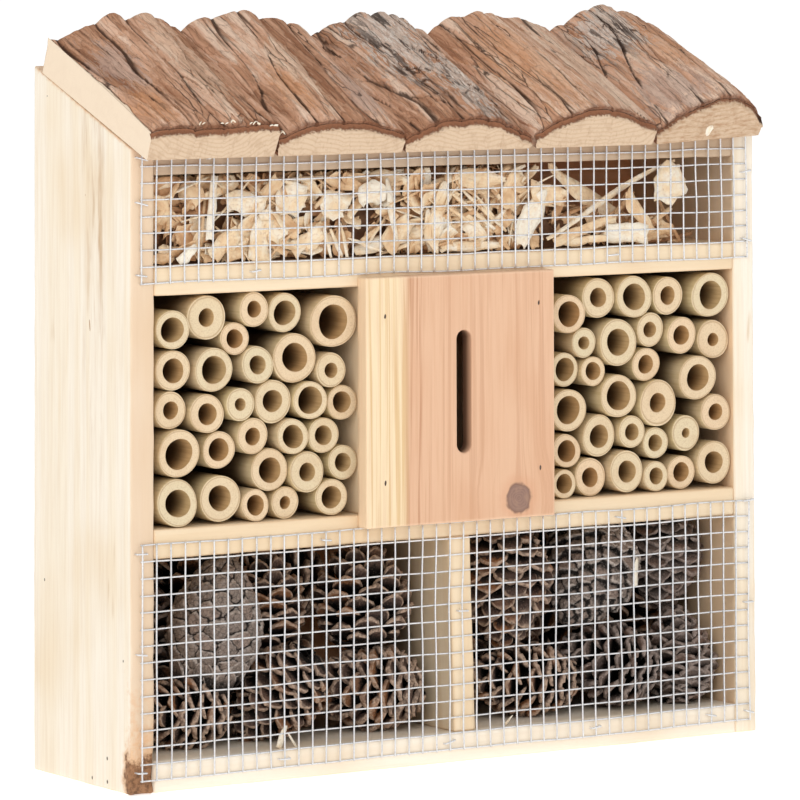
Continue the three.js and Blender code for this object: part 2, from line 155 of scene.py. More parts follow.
def add_piece(name, points, faces, material, fields):
    """A smooth mesh object from arrays; fields are named values per point that its material reads."""
    mesh = bpy.data.meshes.new(name)
    points = np.asarray(points, np.float32)
    faces = np.asarray(faces, np.int32)
    mesh.vertices.add(len(points))
    mesh.vertices.foreach_set("co", points.ravel())
    mesh.loops.add(faces.size)
    mesh.loops.foreach_set("vertex_index", faces.ravel())
    mesh.polygons.add(len(faces))
    mesh.polygons.foreach_set("loop_start", np.arange(len(faces), dtype=np.int32) * faces.shape[1])
    mesh.polygons.foreach_set("use_smooth", np.ones(len(faces), bool))
    for field, values in fields.items():
        layer = mesh.attributes.new(field, "FLOAT", "POINT")
        layer.data.foreach_set("value", np.asarray(values, np.float32))
    mesh.update(calc_edges=True)
    mesh.validate()
    mesh.materials.append(material)
    piece = bpy.data.objects.new(name, mesh)
    bpy.context.scene.collection.objects.link(piece)
    return piece


def settle_piece(piece, slot, *nodes):
    """The piece rides on the house and stands for the CAD nodes."""
    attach(piece, BODY)
    if nodes:
        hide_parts(*nodes)


def sheet_faces(rows, columns, wrap=False):
    """Quads of a sheet of rows x columns points; wrap joins the last column to the first."""
    steps_across = columns if wrap else columns - 1
    row, column = np.meshgrid(np.arange(rows - 1), np.arange(steps_across), indexing="ij")
    right = (column + 1) % columns
    near, far = row * columns, (row + 1) * columns
    return np.stack([near + column, near + right, far + right, far + column], axis=-1).reshape(-1, 4)


class Heap:
    """Collects many small parts that become one mesh."""

    def __init__(self):
        self.points = []
        self.faces = []
        self.fields = {}
        self.count = 0

    def add(self, points, faces, **fields):
        """Adds one part; a field is one value or one value per point."""
        self.points.append(points)
        self.faces.append(faces + self.count)
        self.count += len(points)
        for field, value in fields.items():
            self.fields.setdefault(field, []).append(np.broadcast_to(value, len(points)))

    def piece(self, name, material):
        fields = {field: np.concatenate(values) for field, values in self.fields.items()}
        return add_piece(name, np.concatenate(self.points), np.concatenate(self.faces), material, fields)


def weld(points, faces):
    """Merges points that share a place."""
    keys = np.round(points / WELD_REACH).astype(np.int64)
    _, first, index = np.unique(keys, axis=0, return_index=True, return_inverse=True)
    return points[first], index.reshape(-1)[faces]


def tube(path, radii, sides):
    """A closed round tube through the path's points, as points and quads; its ends close to a point."""
    radii = np.broadcast_to(radii, len(path))
    tangents = np.gradient(path, axis=0)
    tangents /= np.linalg.norm(tangents, axis=1)[:, None]
    side = np.cross(tangents, SLANTED_HELPER if abs(tangents[0][Z]) < NEARLY_UPRIGHT else LEVEL_HELPER)
    side /= np.linalg.norm(side, axis=1)[:, None]
    other = np.cross(tangents, side)
    stations = [0, *range(len(path)), -1]
    path, side, other = (values[stations, None] for values in (path, side, other))
    radii = np.concatenate([[CLOSED_END], radii, [CLOSED_END]])[:, None, None]
    angles = circle(sides)[None, :, None]
    points = path + (side * np.cos(angles) + other * np.sin(angles)) * radii
    return points.reshape(-1, 3), sheet_faces(len(stations), sides, wrap=True)


# ---- Node materials ----


def linear(colour):
    """A display colour, three values from 0 to 255, as linear RGBA."""
    return tuple(((c / 255 + 0.055) / 1.055) ** 2.4 if c > 10 else c / 255 / 12.92 for c in colour) + (1,)


class Graph:
    """One material's node tree. Values are numbers, display colours or the outputs of other nodes."""

    def __init__(self, name, roughness, specular, metallic=0.0):
        self.material = bpy.data.materials.new(name)
        self.material.use_nodes = True
        self.tree = self.material.node_tree
        self.shader = self.tree.nodes["Principled BSDF"]
        self.set(roughness, "Roughness")
        self.set(metallic, "Metallic")
        self.set(specular, "Specular IOR Level")
        self.place = self.node("ShaderNodeTexCoord", {}).outputs["Object"]

    def node(self, kind, inputs, **settings):
        node = self.tree.nodes.new(kind)
        for key, value in settings.items():
            setattr(node, key, value)
        for key, value in inputs.items():
            self.plug(node.inputs[key], value)
        return node

    def plug(self, socket, value):
        if isinstance(value, bpy.types.NodeSocket):
            self.tree.links.new(value, socket)
        else:
            socket.default_value = linear(value) if socket.type == "RGBA" else value

    def set(self, value, socket):
        self.plug(self.shader.inputs[socket], value)

    def math(self, operation, first, second=0.0):
        return self.node("ShaderNodeMath", {0: first, 1: second}, operation=operation).outputs[0]

    def plus(self, first, second):
        return self.math("ADD", first, second)

    def times(self, first, second):
        return self.math("MULTIPLY", first, second)

    def scaled(self, vector, x=1, y=1, z=1, shift=(0.0, 0.0, 0.0), turn=(0.0, 0.0, 0.0)):
        inputs = {"Vector": vector, "Scale": (x, y, z), "Location": shift, "Rotation": turn}
        return self.node("ShaderNodeMapping", inputs).outputs[0]

    def noise(self, vector, scale, detail, roughness=0.5, output=0):
        inputs = {"Vector": vector, "Scale": scale, "Detail": detail, "Roughness": roughness}
        return self.node("ShaderNodeTexNoise", inputs).outputs[output]

    def cells(self, vector, scale, output="Color", feature="F1"):
        inputs = {"Vector": vector, "Scale": scale}
        return self.node("ShaderNodeTexVoronoi", inputs, feature=feature).outputs[output]

    def cell_edges(self, vector, scale):
        return self.cells(vector, scale, "Distance", "DISTANCE_TO_EDGE")

    def field(self, name):
        return self.node("ShaderNodeAttribute", {}, attribute_name=name).outputs["Fac"]

    def axis(self, vector, index):
        return self.node("ShaderNodeSeparateXYZ", {0: vector}).outputs[index]

    def blend(self, share, first, second):
        """A mix of two colours; sockets 6 and 7 and output 2 are the node's colour ones."""
        return self.node("ShaderNodeMix", {0: share, 6: first, 7: second}, data_type="RGBA").outputs[2]

    def fade(self, value, low, high, out_low=0.0, out_high=1.0):
        """A smooth step from out_low to out_high while the value goes from low to high."""
        inputs = {"Value": value, "From Min": low, "From Max": high, "To Min": out_low, "To Max": out_high}
        return self.node("ShaderNodeMapRange", inputs, interpolation_type="SMOOTHSTEP").outputs[0]

    def roughen(self, value, noise, most, low=0.3, high=0.7):
        """The value with noise from -most to most added to it."""
        return self.plus(value, self.fade(noise, low, high, -most, most))

    def coats(self, colour, *layers):
        """The colour under coats of (value, low, high, most, paint); a coat fades in as its value rises."""
        for value, low, high, most, paint in layers:
            colour = self.blend(self.fade(value, low, high, 0.0, most), colour, paint)
        return colour

    def ramp(self, value, *colours):
        """Evenly spaced colours for values from 0 to 1."""
        node = self.node("ShaderNodeValToRGB", {0: value})
        elements = node.color_ramp.elements
        while len(elements) < len(colours):
            elements.new(0.5)
        for index, colour in enumerate(colours):
            elements[index].position = index / (len(colours) - 1)
            elements[index].color = linear(colour)
        return node.outputs[0]

    def bump(self, height, distance, strength):
        """Adds fine relief on top of any that is there already."""
        node = self.node("ShaderNodeBump", {"Height": height, "Distance": distance, "Strength": strength})
        normal = self.shader.inputs["Normal"]
        if normal.is_linked:
            self.tree.links.new(normal.links[0].from_socket, node.inputs["Normal"])
        self.tree.links.new(node.outputs[0], normal)


# ---- The frame boards ----

EDGE_ROUNDING = 0.9 * MM
BOARD_STEP = 1.6 * MM
GROWTH_RING = 5.2 * MM

# Display colours of planed fir: pale wood, growth bands and streaks.
PALE_SIDE = (248, 238, 222), (244, 229, 204), (234, 208, 170)
PALE_FRONT = (240, 219, 188), (234, 206, 168), (222, 184, 142)
# The bottom board's tones are paler than the shelves': painted light on its top.
PALE_FOOT = (250, 239, 222), (245, 229, 206), (234, 210, 178)
PALE_BACK = (246, 232, 210), (239, 219, 188), (228, 200, 162)
SHADED_DECK = (206, 182, 156), (196, 168, 138), (180, 146, 114)
SHADED_BACK = (240, 168, 116), (216, 142, 94), (174, 106, 68)
# The left panel's front edge is painted darker and warmer than its side: painted shade.
SHADED_FRONT_EDGE = (224, 194, 162)
# The side panels' inner faces, painted darker and warmer as painted shade inside the compartments.
SHADED_INSIDE = (236, 198, 156)
STAIN = (190, 150, 104)
DARK_FIBRE = (150, 104, 62)
# Bark at the left panel's foot; the same colours paint a shadow along its top edge.
BARK_WANE_AND_SHADOW = (164, 120, 86)
DARK_WANE_AND_SHADOW = (112, 78, 54)
WANE_HALO_AND_SHADOW = (226, 176, 130)
# Painted shade deep in the compartments, darker towards the back.
DEEP_SHADE = (112, 80, 56)


def node_points(node):
    """The CAD node's points as an array."""
    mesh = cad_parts[node].data
    points = np.empty(len(mesh.vertices) * 3, np.float32)
    mesh.vertices.foreach_get("co", points)
    return points.reshape(-1, 3).astype(float)


def spaced(size, edge, step):
    """Places from 0 to size: a few close together inside each rounded edge, then even steps."""
    in_edge = edge * 0.35
    inner = np.linspace(edge, size - edge, max(2, round((size - 2 * edge) / step) + 1))
    return np.concatenate([[0, in_edge], inner, [size - in_edge, size]])


def block_shell(lines):
    """Points and outward quads on the surface of a block cut at the given places along its three axes."""
    points, faces, count = [], [], 0
    for axis in range(3):
        first, second = (axis + 1) % 3, (axis + 2) % 3
        grid = np.meshgrid(lines[first], lines[second], indexing="ij")
        quads = sheet_faces(len(lines[first]), len(lines[second]))
        for end in (0, -1):
            side = np.empty((grid[0].size, 3))
            side[:, axis] = lines[axis][end]
            side[:, first] = grid[0].ravel()
            side[:, second] = grid[1].ravel()
            points.append(side)
            faces.append((quads if end == -1 else quads[:, ::-1]) + count)
            count += len(side)
    return weld(np.concatenate(points), np.concatenate(faces))


def board_corners(node, across, leaning):
    """The board's eight corners, indexed by the low or high end of each axis.

    The outline may lean: its reach along the leaning axis is read at both ends of the across axis.
    """
    points = node_points(node)
    ends = points.min(0), points.max(0)
    third = 3 - across - leaning
    corners = np.empty((2, 2, 2, 3))
    for index in np.ndindex(2, 2, 2):
        place = ends[index[across]][across]
        near = points[np.abs(points[:, across] - place) < 0.3 * MM]
        reach = near[:, leaning].min(), near[:, leaning].max()
        corners[index][across] = place
        corners[index][leaning] = reach[index[leaning]]
        corners[index][third] = ends[index[third]][third]
    return corners


def shaped_board(corners, grain, seed):
    """A sawn board: rounded, slightly worn edges and a fine fibre relief that runs along the grain."""
    size = np.array([np.linalg.norm(np.diff(corners, axis=axis), axis=-1).mean() for axis in range(3)])
    local, faces = block_shell([spaced(length, EDGE_ROUNDING, BOARD_STEP) for length in size])
    wear = EDGE_ROUNDING * (1 + 0.35 * layered_noise(local / (9 * MM), 2, seed))[:, None]
    core = np.clip(local, wear, size - wear)
    normal = local - core
    normal /= np.linalg.norm(normal, axis=1)[:, None]
    share = (core + normal * wear) / size
    points = np.zeros_like(share)
    for index in np.ndindex(2, 2, 2):
        weight = np.prod(np.where(index, share, 1 - share), axis=1)
        points += weight[:, None] * corners[index]
    pitch = np.full(3, 1.3 * MM)
    pitch[grain] = 24 * MM
    fibres = layered_noise(points / pitch, 2, seed + 5)
    swell = layered_noise(points / (22 * MM), 2, seed + 9)
    points += normal * (0.035 * MM * fibres + 0.05 * MM * swell)[:, None]
    to_sides = np.sort(np.minimum(local, size - local), axis=1)
    return points, faces, falling(to_sides[:, 1], 1.6 * MM)


def fir_material(name, grain, tones, seed, band_share=0.5, bite=0.1, outer=None):
    """Planed fir: soft growth bands, fine fibres and a few resin streaks, all drawn out along the grain.

    outer gives other tones where the field "outer" is 1; bite is how dark the fibres are.
    """
    graph = Graph(name, roughness=0.62, specular=0.3)
    long = [1.0, 1.0, 1.0]
    long[grain] = 0.045
    shift = (0.37 * seed, 0.91 * seed, 0.53 * seed)
    place = graph.scaled(graph.place, *long, shift=shift)
    drift = graph.noise(place, 26.0, 3.0, 0.55)
    across = graph.plus(graph.axis(place, X if grain == Z else Z), graph.axis(place, Y))
    waves = graph.plus(graph.times(across, TAU / GROWTH_RING / 3), graph.times(drift, 26.0))
    rings = graph.math("SINE", waves)
    fibre = graph.noise(place, 620.0, 3.0, 0.6)
    cloud = graph.noise(graph.scaled(graph.place, shift=shift), 14.0, 2.0)
    resin = graph.noise(graph.scaled(place, z=1.9), 88.0, 4.0, 0.62)
    fleck = graph.noise(graph.scaled(place, z=3.1), 130.0, 2.0)
    if outer:
        tones = [graph.blend(graph.field("outer"), own, other) for own, other in zip(tones, outer)]
    pale, band, streak = tones
    dark = graph.blend(0.35, streak, DARK_FIBRE)
    colour = graph.coats(
        graph.blend(graph.times(graph.fade(rings, -0.5, 1.0), band_share), pale, band),
        (cloud, 0.5, 0.78, 0.5, streak),
        (resin, 0.63, 0.8, 0.75, streak),
        (fleck, 0.74, 0.82, 0.8, dark),
        (fibre, 0.35, 0.75, bite, dark),
        (graph.field("edge"), 0.35, 1.0, 0.35, streak),
    )
    # Painted shade on the left panel's front edge.
    colour = graph.blend(graph.times(graph.field("front"), 0.85), colour, SHADED_FRONT_EDGE)
    # Painted shade on the side panels' inner faces.
    colour = graph.blend(graph.times(graph.field("inside"), 0.8), colour, SHADED_INSIDE)
    blotch = graph.noise(graph.scaled(graph.place, z=0.1), 150.0, 4.0, 0.65)
    stain = graph.times(graph.field("stain"), graph.fade(blotch, 0.46, 0.68, 0.04, 1.0))
    colour = graph.blend(stain, colour, STAIN)
    flake = graph.noise(graph.place, 420.0, 4.0, 0.7)
    ragged = graph.roughen(graph.field("wane_and_top_shadow"), flake, 0.16)
    colour = graph.coats(
        colour,
        # Bark at the left panel's foot, and a painted shadow along its top edge in the same colours.
        (ragged, 0.08, 0.62, 0.7, WANE_HALO_AND_SHADOW),
        (ragged, 0.5, 0.85, 1.0, graph.blend(graph.fade(flake, 0.42, 0.66), BARK_WANE_AND_SHADOW, DARK_WANE_AND_SHADOW)),
        # Painted shade deep in the compartments.
        (graph.field("deep_shade"), 0.0, 1.0, 0.7, DEEP_SHADE),
    )
    graph.set(colour, "Base Color")
    graph.set(graph.fade(fibre, 0.2, 0.8, 0.52, 0.74), "Roughness")
    graph.bump(fibre, 0.12 * MM, 0.7)
    graph.bump(rings, 0.06 * MM, 0.5)
    graph.bump(graph.times(flake, graph.field("wane_and_top_shadow")), 1.2 * MM, 0.8)
    return graph.material


def add_boards():
    side = fir_material("side_fir", Z, PALE_SIDE, seed=2, bite=0.2)
    shelf = fir_material("shelf_fir", X, PALE_FRONT, seed=5)
    upright = fir_material("divider_fir", Z, PALE_FRONT, seed=8)
    back = fir_material("back_fir", X, SHADED_BACK, seed=11, band_share=0.8, outer=PALE_BACK)
    deck = fir_material("deck_fir", X, SHADED_DECK, seed=14)
    foot = fir_material("foot_fir", X, PALE_FOOT, seed=17)
    # Node, the axis across the outline, the axis it may lean along, grain, material and slot.
    boards = [
        ("left_side_panel", Y, Z, Z, side, "side_wood"),
        ("right_side_panel", Y, Z, Z, side, "side_wood"),
        ("roof_deck", Y, Z, X, deck, "front_wood"),
        ("back_panel", Y, Z, X, back, "back_wood"),
        ("bottom_board", X, Z, X, foot, "front_wood"),
        ("lower_shelf", X, Z, X, shelf, "front_wood"),
        ("upper_shelf", X, Z, X, shelf, "front_wood"),
        ("cone_divider", Z, X, Z, upright, "front_wood"),
        ("chamber_divider_left", Z, X, Z, upright, "front_wood"),
        ("chamber_divider_right", Z, X, Z, upright, "front_wood"),
    ]
    for seed, (node, across, leaning, grain, material, slot) in enumerate(boards, 1):
        corners = board_corners(node, across, leaning)
        points, faces, edge = shaped_board(corners, grain, seed)
        fields = {"edge": edge, **board_fields(node, points, corners)}
        settle_piece(add_piece(node + "_wood", points, faces, material, fields), slot, node)


def board_fields(node, points, corners):
    """Where a board has painted shade, a painted shadow, stains or wear, from 0 to 1 for each point."""
    low, high = points.min(0), points.max(0)
    behind = points[:, Y] - low[Y]
    if node == "cone_divider":
        # Painted shade: the divider darkens towards the back.
        return {"deep_shade": rising(behind - 4 * MM, 50 * MM)}
    if node == "back_panel":
        return {"outer": rising(behind, 0.6 * MM)}
    if node == "left_side_panel":
        # Painted shade on the inner face.
        inside = 0.8 * inner_face(points, high[X], behind)
        return {"inside": inside, **left_panel_wear_and_shade(points, low, corners)}
    if node == "right_side_panel":
        # Painted shade on the inner face.
        inside = inner_face(points, low[X], behind)
        # Deeper painted shade towards the back, below the lower shelf.
        below = rising(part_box("lower_shelf")[0].z - points[:, Z], 1 * MM)
        return {"inside": inside, "deep_shade": below * inside * rising(behind - 8 * MM, 50 * MM)}
    return {}


def inner_face(points, face, behind):
    """1 on the panel's inner face, which lies at x = face, but 0 on its front edge."""
    return falling(np.abs(points[:, X] - face), 0.6 * MM) * (behind > 0.5 * MM)


def left_panel_wear_and_shade(points, low, corners):
    """The left panel's front edge in painted shade, foot bark, a painted shadow along the top, and a long
    stain.
    """
    # Painted shade along the front edge.
    front = falling(points[:, Y] - low[Y], 0.8 * MM)
    foot = wear_foot(points, low)
    top = corners[0, :, 1]
    line = np.interp(points[:, Y], top[:, Y], top[:, Z])
    # A painted shadow along the top edge, where the roof slab lies on the panel.
    top_shadow = 0.5 * falling(line - points[:, Z], 1.6 * MM)
    drift = 3 * MM * layered_noise(points / (50 * MM), 2, 77)
    off_stain = points[:, Y] - low[Y] - 29 * MM + drift
    stain = 0.8 * hill(off_stain, 10 * MM) * rising(points[:, Z] - low[Z] - 60 * MM, 150 * MM)
    return {"front": front, "wane_and_top_shadow": np.maximum(foot, top_shadow), "stain": stain}


def wear_foot(points, low):
    """Wears the foot of the left panel's front edge; returns how much bark each point has."""
    salt = layered_noise(points / (6 * MM), 2, 71)
    rise = points[:, Z] - low[Z]
    reach = 6 * MM + 2 * MM * np.cos((rise / (11 * MM) - 1) * 1.4)
    near_front = falling(points[:, Y] - low[Y] - 1.6 * MM * salt, reach)
    bark = near_front**0.5 * rising(19 * MM + 4 * MM * salt - rise, 6 * MM)
    halo = near_front**0.6 * rising(52 * MM + 8 * MM * salt - rise, 34 * MM) * 0.42
    points[:, Y] += (1.2 + 0.8 * salt) * MM * bark * near_front
    return np.maximum(bark, halo)


# ---- The bark slabs of the roof ----

BARK_THICKNESS = 2.7 * MM
# The slabs end this far up the slope from the front ends of the CAD slabs.
FRONT_TRIM = 3.4 * MM
# Each slab's bark: the plates' width and length, how far they lean from the slope, how rough the bark is and
# how red, and its patches as (kind, share across, share up the slope, half width, half length).
SLABS = {
    "roof_slab_1": {
        "skew": 0.04, "plate": (12 * MM, 150 * MM), "rough": 1.0, "warm": 0.05, "left_cut": True,
        "front_lift": (1.6, 4.0),
        "patches": [
            ("mauve", 0.2, 0.62, 0.16, 0.2),
            ("orange", 0.16, 0.22, 0.12, 0.2),
            ("pale", 0.72, 0.55, 0.14, 0.5),
        ],
    },
    "roof_slab_2": {
        "skew": -0.03, "plate": (14 * MM, 170 * MM), "rough": 0.9, "warm": 0.0,
        "patches": [
            ("pale", 0.45, 0.5, 0.1, 0.35),
            ("mauve", 0.85, 0.3, 0.12, 0.25),
            ("orange", 0.3, 0.3, 0.12, 0.2),
        ],
    },
    "roof_slab_3": {
        "skew": 0.07, "plate": (9 * MM, 70 * MM), "rough": 1.2, "warm": 0.0,
        "patches": [
            ("grey", 0.42, 0.74, 0.24, 0.34),
            ("grey", 0.68, 0.36, 0.17, 0.3),
            ("grey", 0.55, 0.95, 0.3, 0.15),
        ],
    },
    "roof_slab_4": {
        "skew": 0.0, "plate": (15 * MM, 180 * MM), "rough": 0.75, "warm": 0.62,
        "patches": [("orange", 0.3, 0.5, 0.22, 0.5), ("pale", 0.78, 0.5, 0.16, 0.6)],
    },
    "roof_slab_5": {
        "skew": -0.05, "plate": (13 * MM, 100 * MM), "rough": 1.0, "warm": 0.48,
        "split_end": True, "thin_bark": 0.8, "dark_right": True,
        "patches": [
            ("grey", 0.3, 0.78, 0.22, 0.2),
            ("mauve", 0.28, 0.2, 0.26, 0.2),
            ("orange", 0.62, 0.62, 0.22, 0.3),
        ],
    },
}
# Each kind of patch: its colour and how much of the bark it covers.
PATCHES = {
    "orange": ((214, 152, 106), 0.5),
    "mauve": ((196, 168, 154), 0.6),
    "pale": ((236, 206, 180), 0.45),
    "grey": ((210, 190, 176), 0.8),
}


class Slope:
    """The roof's own axes: across, up the slope from the front edge of the deck, and square to the deck."""

    def __init__(self):
        corners = board_corners("roof_deck", Y, Z)
        run = corners[0, 1, 1] - corners[0, 0, 1]
        self.start = corners[0, 0, 1] * [0, 1, 1]
        self.angle = math.atan2(run[Z], run[Y])
        run /= np.linalg.norm(run)
        self.axes = np.array([[1, 0, 0], run, np.cross([1, 0, 0], run)])

    def to_roof(self, points):
        return (points - self.start) @ self.axes.T

    def to_house(self, points):
        return points @ self.axes + self.start


def slab_table(slope, node):
    """The slab's top surface in rows from the front, of points from the left, and its underside's level."""
    points = slope.to_roof(node_points(node))
    points = np.unique(np.round(points, 6), axis=0)
    base = points[:, 2].min()
    top = points[points[:, 2] > base + 1 * MM]
    top = top[np.argsort(top[:, 1])].reshape(4, -1, 3)
    return np.array([row[np.argsort(row[:, 0])] for row in top]), base


def rounded_row(points, share):
    """A smooth curve through evenly spaced points, at shares of its length."""
    count = len(points) - 1
    place = np.clip(share, 0, 1) * count
    index = np.minimum(place.astype(int), count - 1)
    part = (place - index)[:, None]
    before = points[np.maximum(index - 1, 0)]
    start, end = points[index], points[index + 1]
    after = points[np.minimum(index + 2, count)]
    first = (end - before) / 2
    last = (after - start) / 2
    square, cube = part**2, part**3
    return (
        (2 * cube - 3 * square + 1) * start + (cube - 2 * square + part) * first
        + (3 * square - 2 * cube) * end + (cube - square) * last
    )


def slab_surface(rows, s, t):
    """The CAD surface at shares across and up the slope: rounded across, straight from row to row."""
    level = np.clip(t, 0, 1) * (len(rows) - 1)
    row = np.minimum(level.astype(int), len(rows) - 2)
    part = (level - row)[:, None]
    curves = np.stack([rounded_row(points, s) for points in rows])
    index = np.arange(len(s))
    return curves[row, index] * (1 - part) + curves[row + 1, index] * part


def strips(across, along, width, length, seed):
    """Long bark strips side by side that run up the roof and end here and there.

    Returns how deep in a crack each point is, each strip's own value, and where the point lies across its
    strip, from -1 to 1. across and along are in metres on the roof.
    """
    wander = layered_noise(beside(across / (30 * MM), along / (60 * MM), seed), 2, seed)
    u = across / width + 0.55 * wander
    column = np.floor(u)
    near, far = np.full(len(u), 9.0), np.full(len(u), 9.0)
    strip, offset = np.zeros(len(u)), np.zeros(len(u))
    for step in (-1, 0, 1):
        line = column + step
        centre = line + 0.5 + 0.36 * lattice(beside(line, 0, 0), seed + 1)
        distance = np.abs(centre - u)
        nearer = distance < near
        far = np.where(nearer, near, np.minimum(far, distance))
        strip = np.where(nearer, line, strip)
        offset = np.where(nearer, u - centre, offset)
        near = np.where(nearer, distance, near)
    gap = (far - near) / 2 * width
    own = lattice(beside(strip, 0, 0), seed + 2)
    place = along / (length * (1 + 0.3 * own)) + 5 * own + 0.25 * offset
    reach = np.abs(place - np.round(place)) * length
    joint = lattice(beside(strip, np.round(place), 0), seed + 3) > 0.1
    value = lattice(beside(strip, np.floor(place), 0), seed + 4)
    fading = layered_noise(beside(strip * 3.3, along / (22 * MM), 0), 2, seed + 5)
    side_crack = hill(gap, 0.8 * MM) * np.clip(0.85 + 0.8 * fading, 0, 1)
    end_crack = hill(reach, 0.5 * MM) * joint * 0.8
    return np.maximum(side_crack, end_crack), value, np.clip(offset * 2, -1, 1)


def ridge_noise(across, along, width, length, seed):
    """Noise drawn out up the roof."""
    return layered_noise(beside(across / width, along / length, seed), 3, seed)


class Bark:
    """The pattern of one slab's bark at points across and up the roof: strips, small strips and noise."""

    def __init__(self, style, u, v, seed):
        width, length = style["plate"]
        u = u + style["skew"] * v
        self.crack, self.value, self.across = strips(u, v, width, length, seed)
        self.fine, self.small_value, _ = strips(u, v, width * 0.3, length * 0.45, seed + 40)
        self.fibre = ridge_noise(u, v, 1.3 * MM, 30 * MM, seed + 50)
        self.lump = ridge_noise(u, v, 11 * MM, 60 * MM, seed + 60)
        self.pitted = ridge_noise(u, v, 1.0 * MM, 2.4 * MM, seed + 70)

    def relief(self, style, s, t):
        """The bark's height over the CAD surface in millimetres, at shares across and up the slope."""
        broad = 0.55 * self.value + 0.35 * self.across + 0.4 * self.lump + 1.5 * (0.7 - self.across**2)
        narrow = 0.22 * self.small_value + 0.3 * self.fibre + 0.13 * self.pitted
        narrow -= 1.3 * self.crack + 0.35 * self.fine
        # The bark is calmer near its ends, it swells towards the back, and both its edges are worn round.
        front_calm = 0.3 + 0.7 * rising(t, 0.1) ** 0.7
        back_calm = 0.25 + 0.75 * rising(1 - t, 0.05)
        relief = style["rough"] * front_calm * (broad + narrow * back_calm)
        crown = 0.3 + 4.1 * np.sqrt(np.clip(t, 0, 1))
        relief += crown * (0.62 + 0.38 * np.sin(math.pi * np.clip(s, 0, 1)))
        relief -= 1.3 * (1 - np.sqrt(1 - falling(t, 0.016) ** 2))
        relief -= 1.2 * falling(1 - t, 0.016) ** 2
        relief += np.where(s < 0.5, *style.get("front_lift", (0, 0))) * (1 - 2 * s) ** 2 * (1 - t) ** 2
        relief *= 0.6 + 0.4 * rising(np.minimum(s, 1 - s), 0.06)
        if style.get("left_cut"):
            relief = relief * rising(s, 0.05) + 0.9 * crown * falling(s, 0.05)
        return relief

    def fields(self, style, s, t, u, v, depth, seed):
        """What the bark's material reads; depth is how far each point lies under the bark's top."""
        left_cut, in_front = style.get("left_cut", False), t < 0.5
        on_end = np.minimum(t, 1 - t) < 1e-6
        cut = np.where(on_end, 1.0, 0.0)
        if left_cut:
            bare = 0.028 + 0.01 * layered_noise(beside(v / (9 * MM), 0, 0), 3, seed + 90)
            cut = np.maximum(cut, np.clip((bare - s) / 0.012 + 0.5, 0, 1) + (s < 1e-6))
            depth = np.where((s < 0.08) & ~on_end | (s < 1e-6), 9 * MM, depth)
        black = style.get("dark_right", 0) * rising(s - 0.93, 0.04)
        crack = np.clip(self.crack + 0.5 * self.fine - 0.25 * self.fibre * (self.crack < 0.5), 0, 1)
        plate = 0.5 + 0.22 * self.value + 0.14 * self.small_value + 0.14 * self.lump + 0.16 * self.fibre
        patches = {kind: np.zeros(len(s)) for kind in PATCHES}
        for kind, middle_s, middle_t, half_s, half_t in style["patches"]:
            spread = ((s - middle_s) / half_s) ** 2 + ((t - middle_t) / half_t) ** 2
            patches[kind] = np.maximum(patches[kind], np.exp(-spread * 0.8))
        return {
            "crack": np.maximum(crack, black),
            "black": black,
            "plate": np.clip(plate + 0.5 * style["warm"], 0, 1),
            "depth": depth / MM + style.get("thin_bark", 0) * in_front * rising(0.94 - s, 0.1),
            "cut": cut,
            "clean": left_cut * (s < 0.1) * ~on_end,
            "ring": np.hypot(u - u.mean(), depth + 30 * MM) / MM,
            # Painted shade where the bark rolls over at its front edge.
            "rim": falling(t * (v.max() - v.min()), 6 * MM),
            "split": style.get("split_end", False) * in_front,
            **patches,
        }


def slab_piece(slope, node, style, seed, material):
    """One half log: the CAD slab under bark, with sawn ends and worn edges."""
    rows, base = slab_table(slope, node)
    # Shares of the slab's width, of its run up the slope and of its height.
    local, faces = block_shell([spaced(1, 0.008, 0.0085), spaced(1, 0.008, 0.0066), spaced(1, 0.03, 0.045)])
    s, t, k = local.T
    u, v, height = slab_surface(rows, s, t).T
    bark = Bark(style, u, v, seed)
    height = height + bark.relief(style, s, t) * MM
    # The front and back cuts: the wood is sawn flat, the bark's broken edge stands a little proud or short.
    depth = height * (1 - k)
    in_bark = rising(BARK_THICKNESS * 1.1 - depth, 0.6 * MM)
    outward = np.where(t < 0.5, -1.0, 1.0)
    ragged = 0.5 + 0.5 * layered_noise(beside(u / (7 * MM), k * 3, 0), 3, seed + 80)
    ragged -= 2.4 * falling(depth, 2.6 * MM) ** 1.5 * (t < 0.5)
    sawn = 0.06 * layered_noise(beside(u / (6 * MM), depth / (0.7 * MM), 0), 2, seed + 81)
    proud = (in_bark * ragged + (1 - in_bark) * sawn) * MM
    v = v + outward * falling(np.minimum(t, 1 - t), 0.02) * proud + FRONT_TRIM * (1 - t) ** 3
    # The sides bulge like a log's edge below the crown and are tucked in at the foot; a sawn side is plumb.
    tuck = (1 - k) ** 2 * falling(np.minimum(s, 1 - s), 0.06)
    if style.get("left_cut"):
        tuck = np.where(s < 0.5, 0, tuck)
    u = u - np.where(s < 0.5, -1.0, 1.0) * tuck * 0.9 * MM
    level = base + (height - base) * k + 0.8 * MM * (1 - t)
    points = slope.to_house(beside(u, v, level))
    fields = bark.fields(style, s, t, u, v, depth, seed)
    settle_piece(add_piece(node + "_log", points, faces, material, fields), "bark", node)


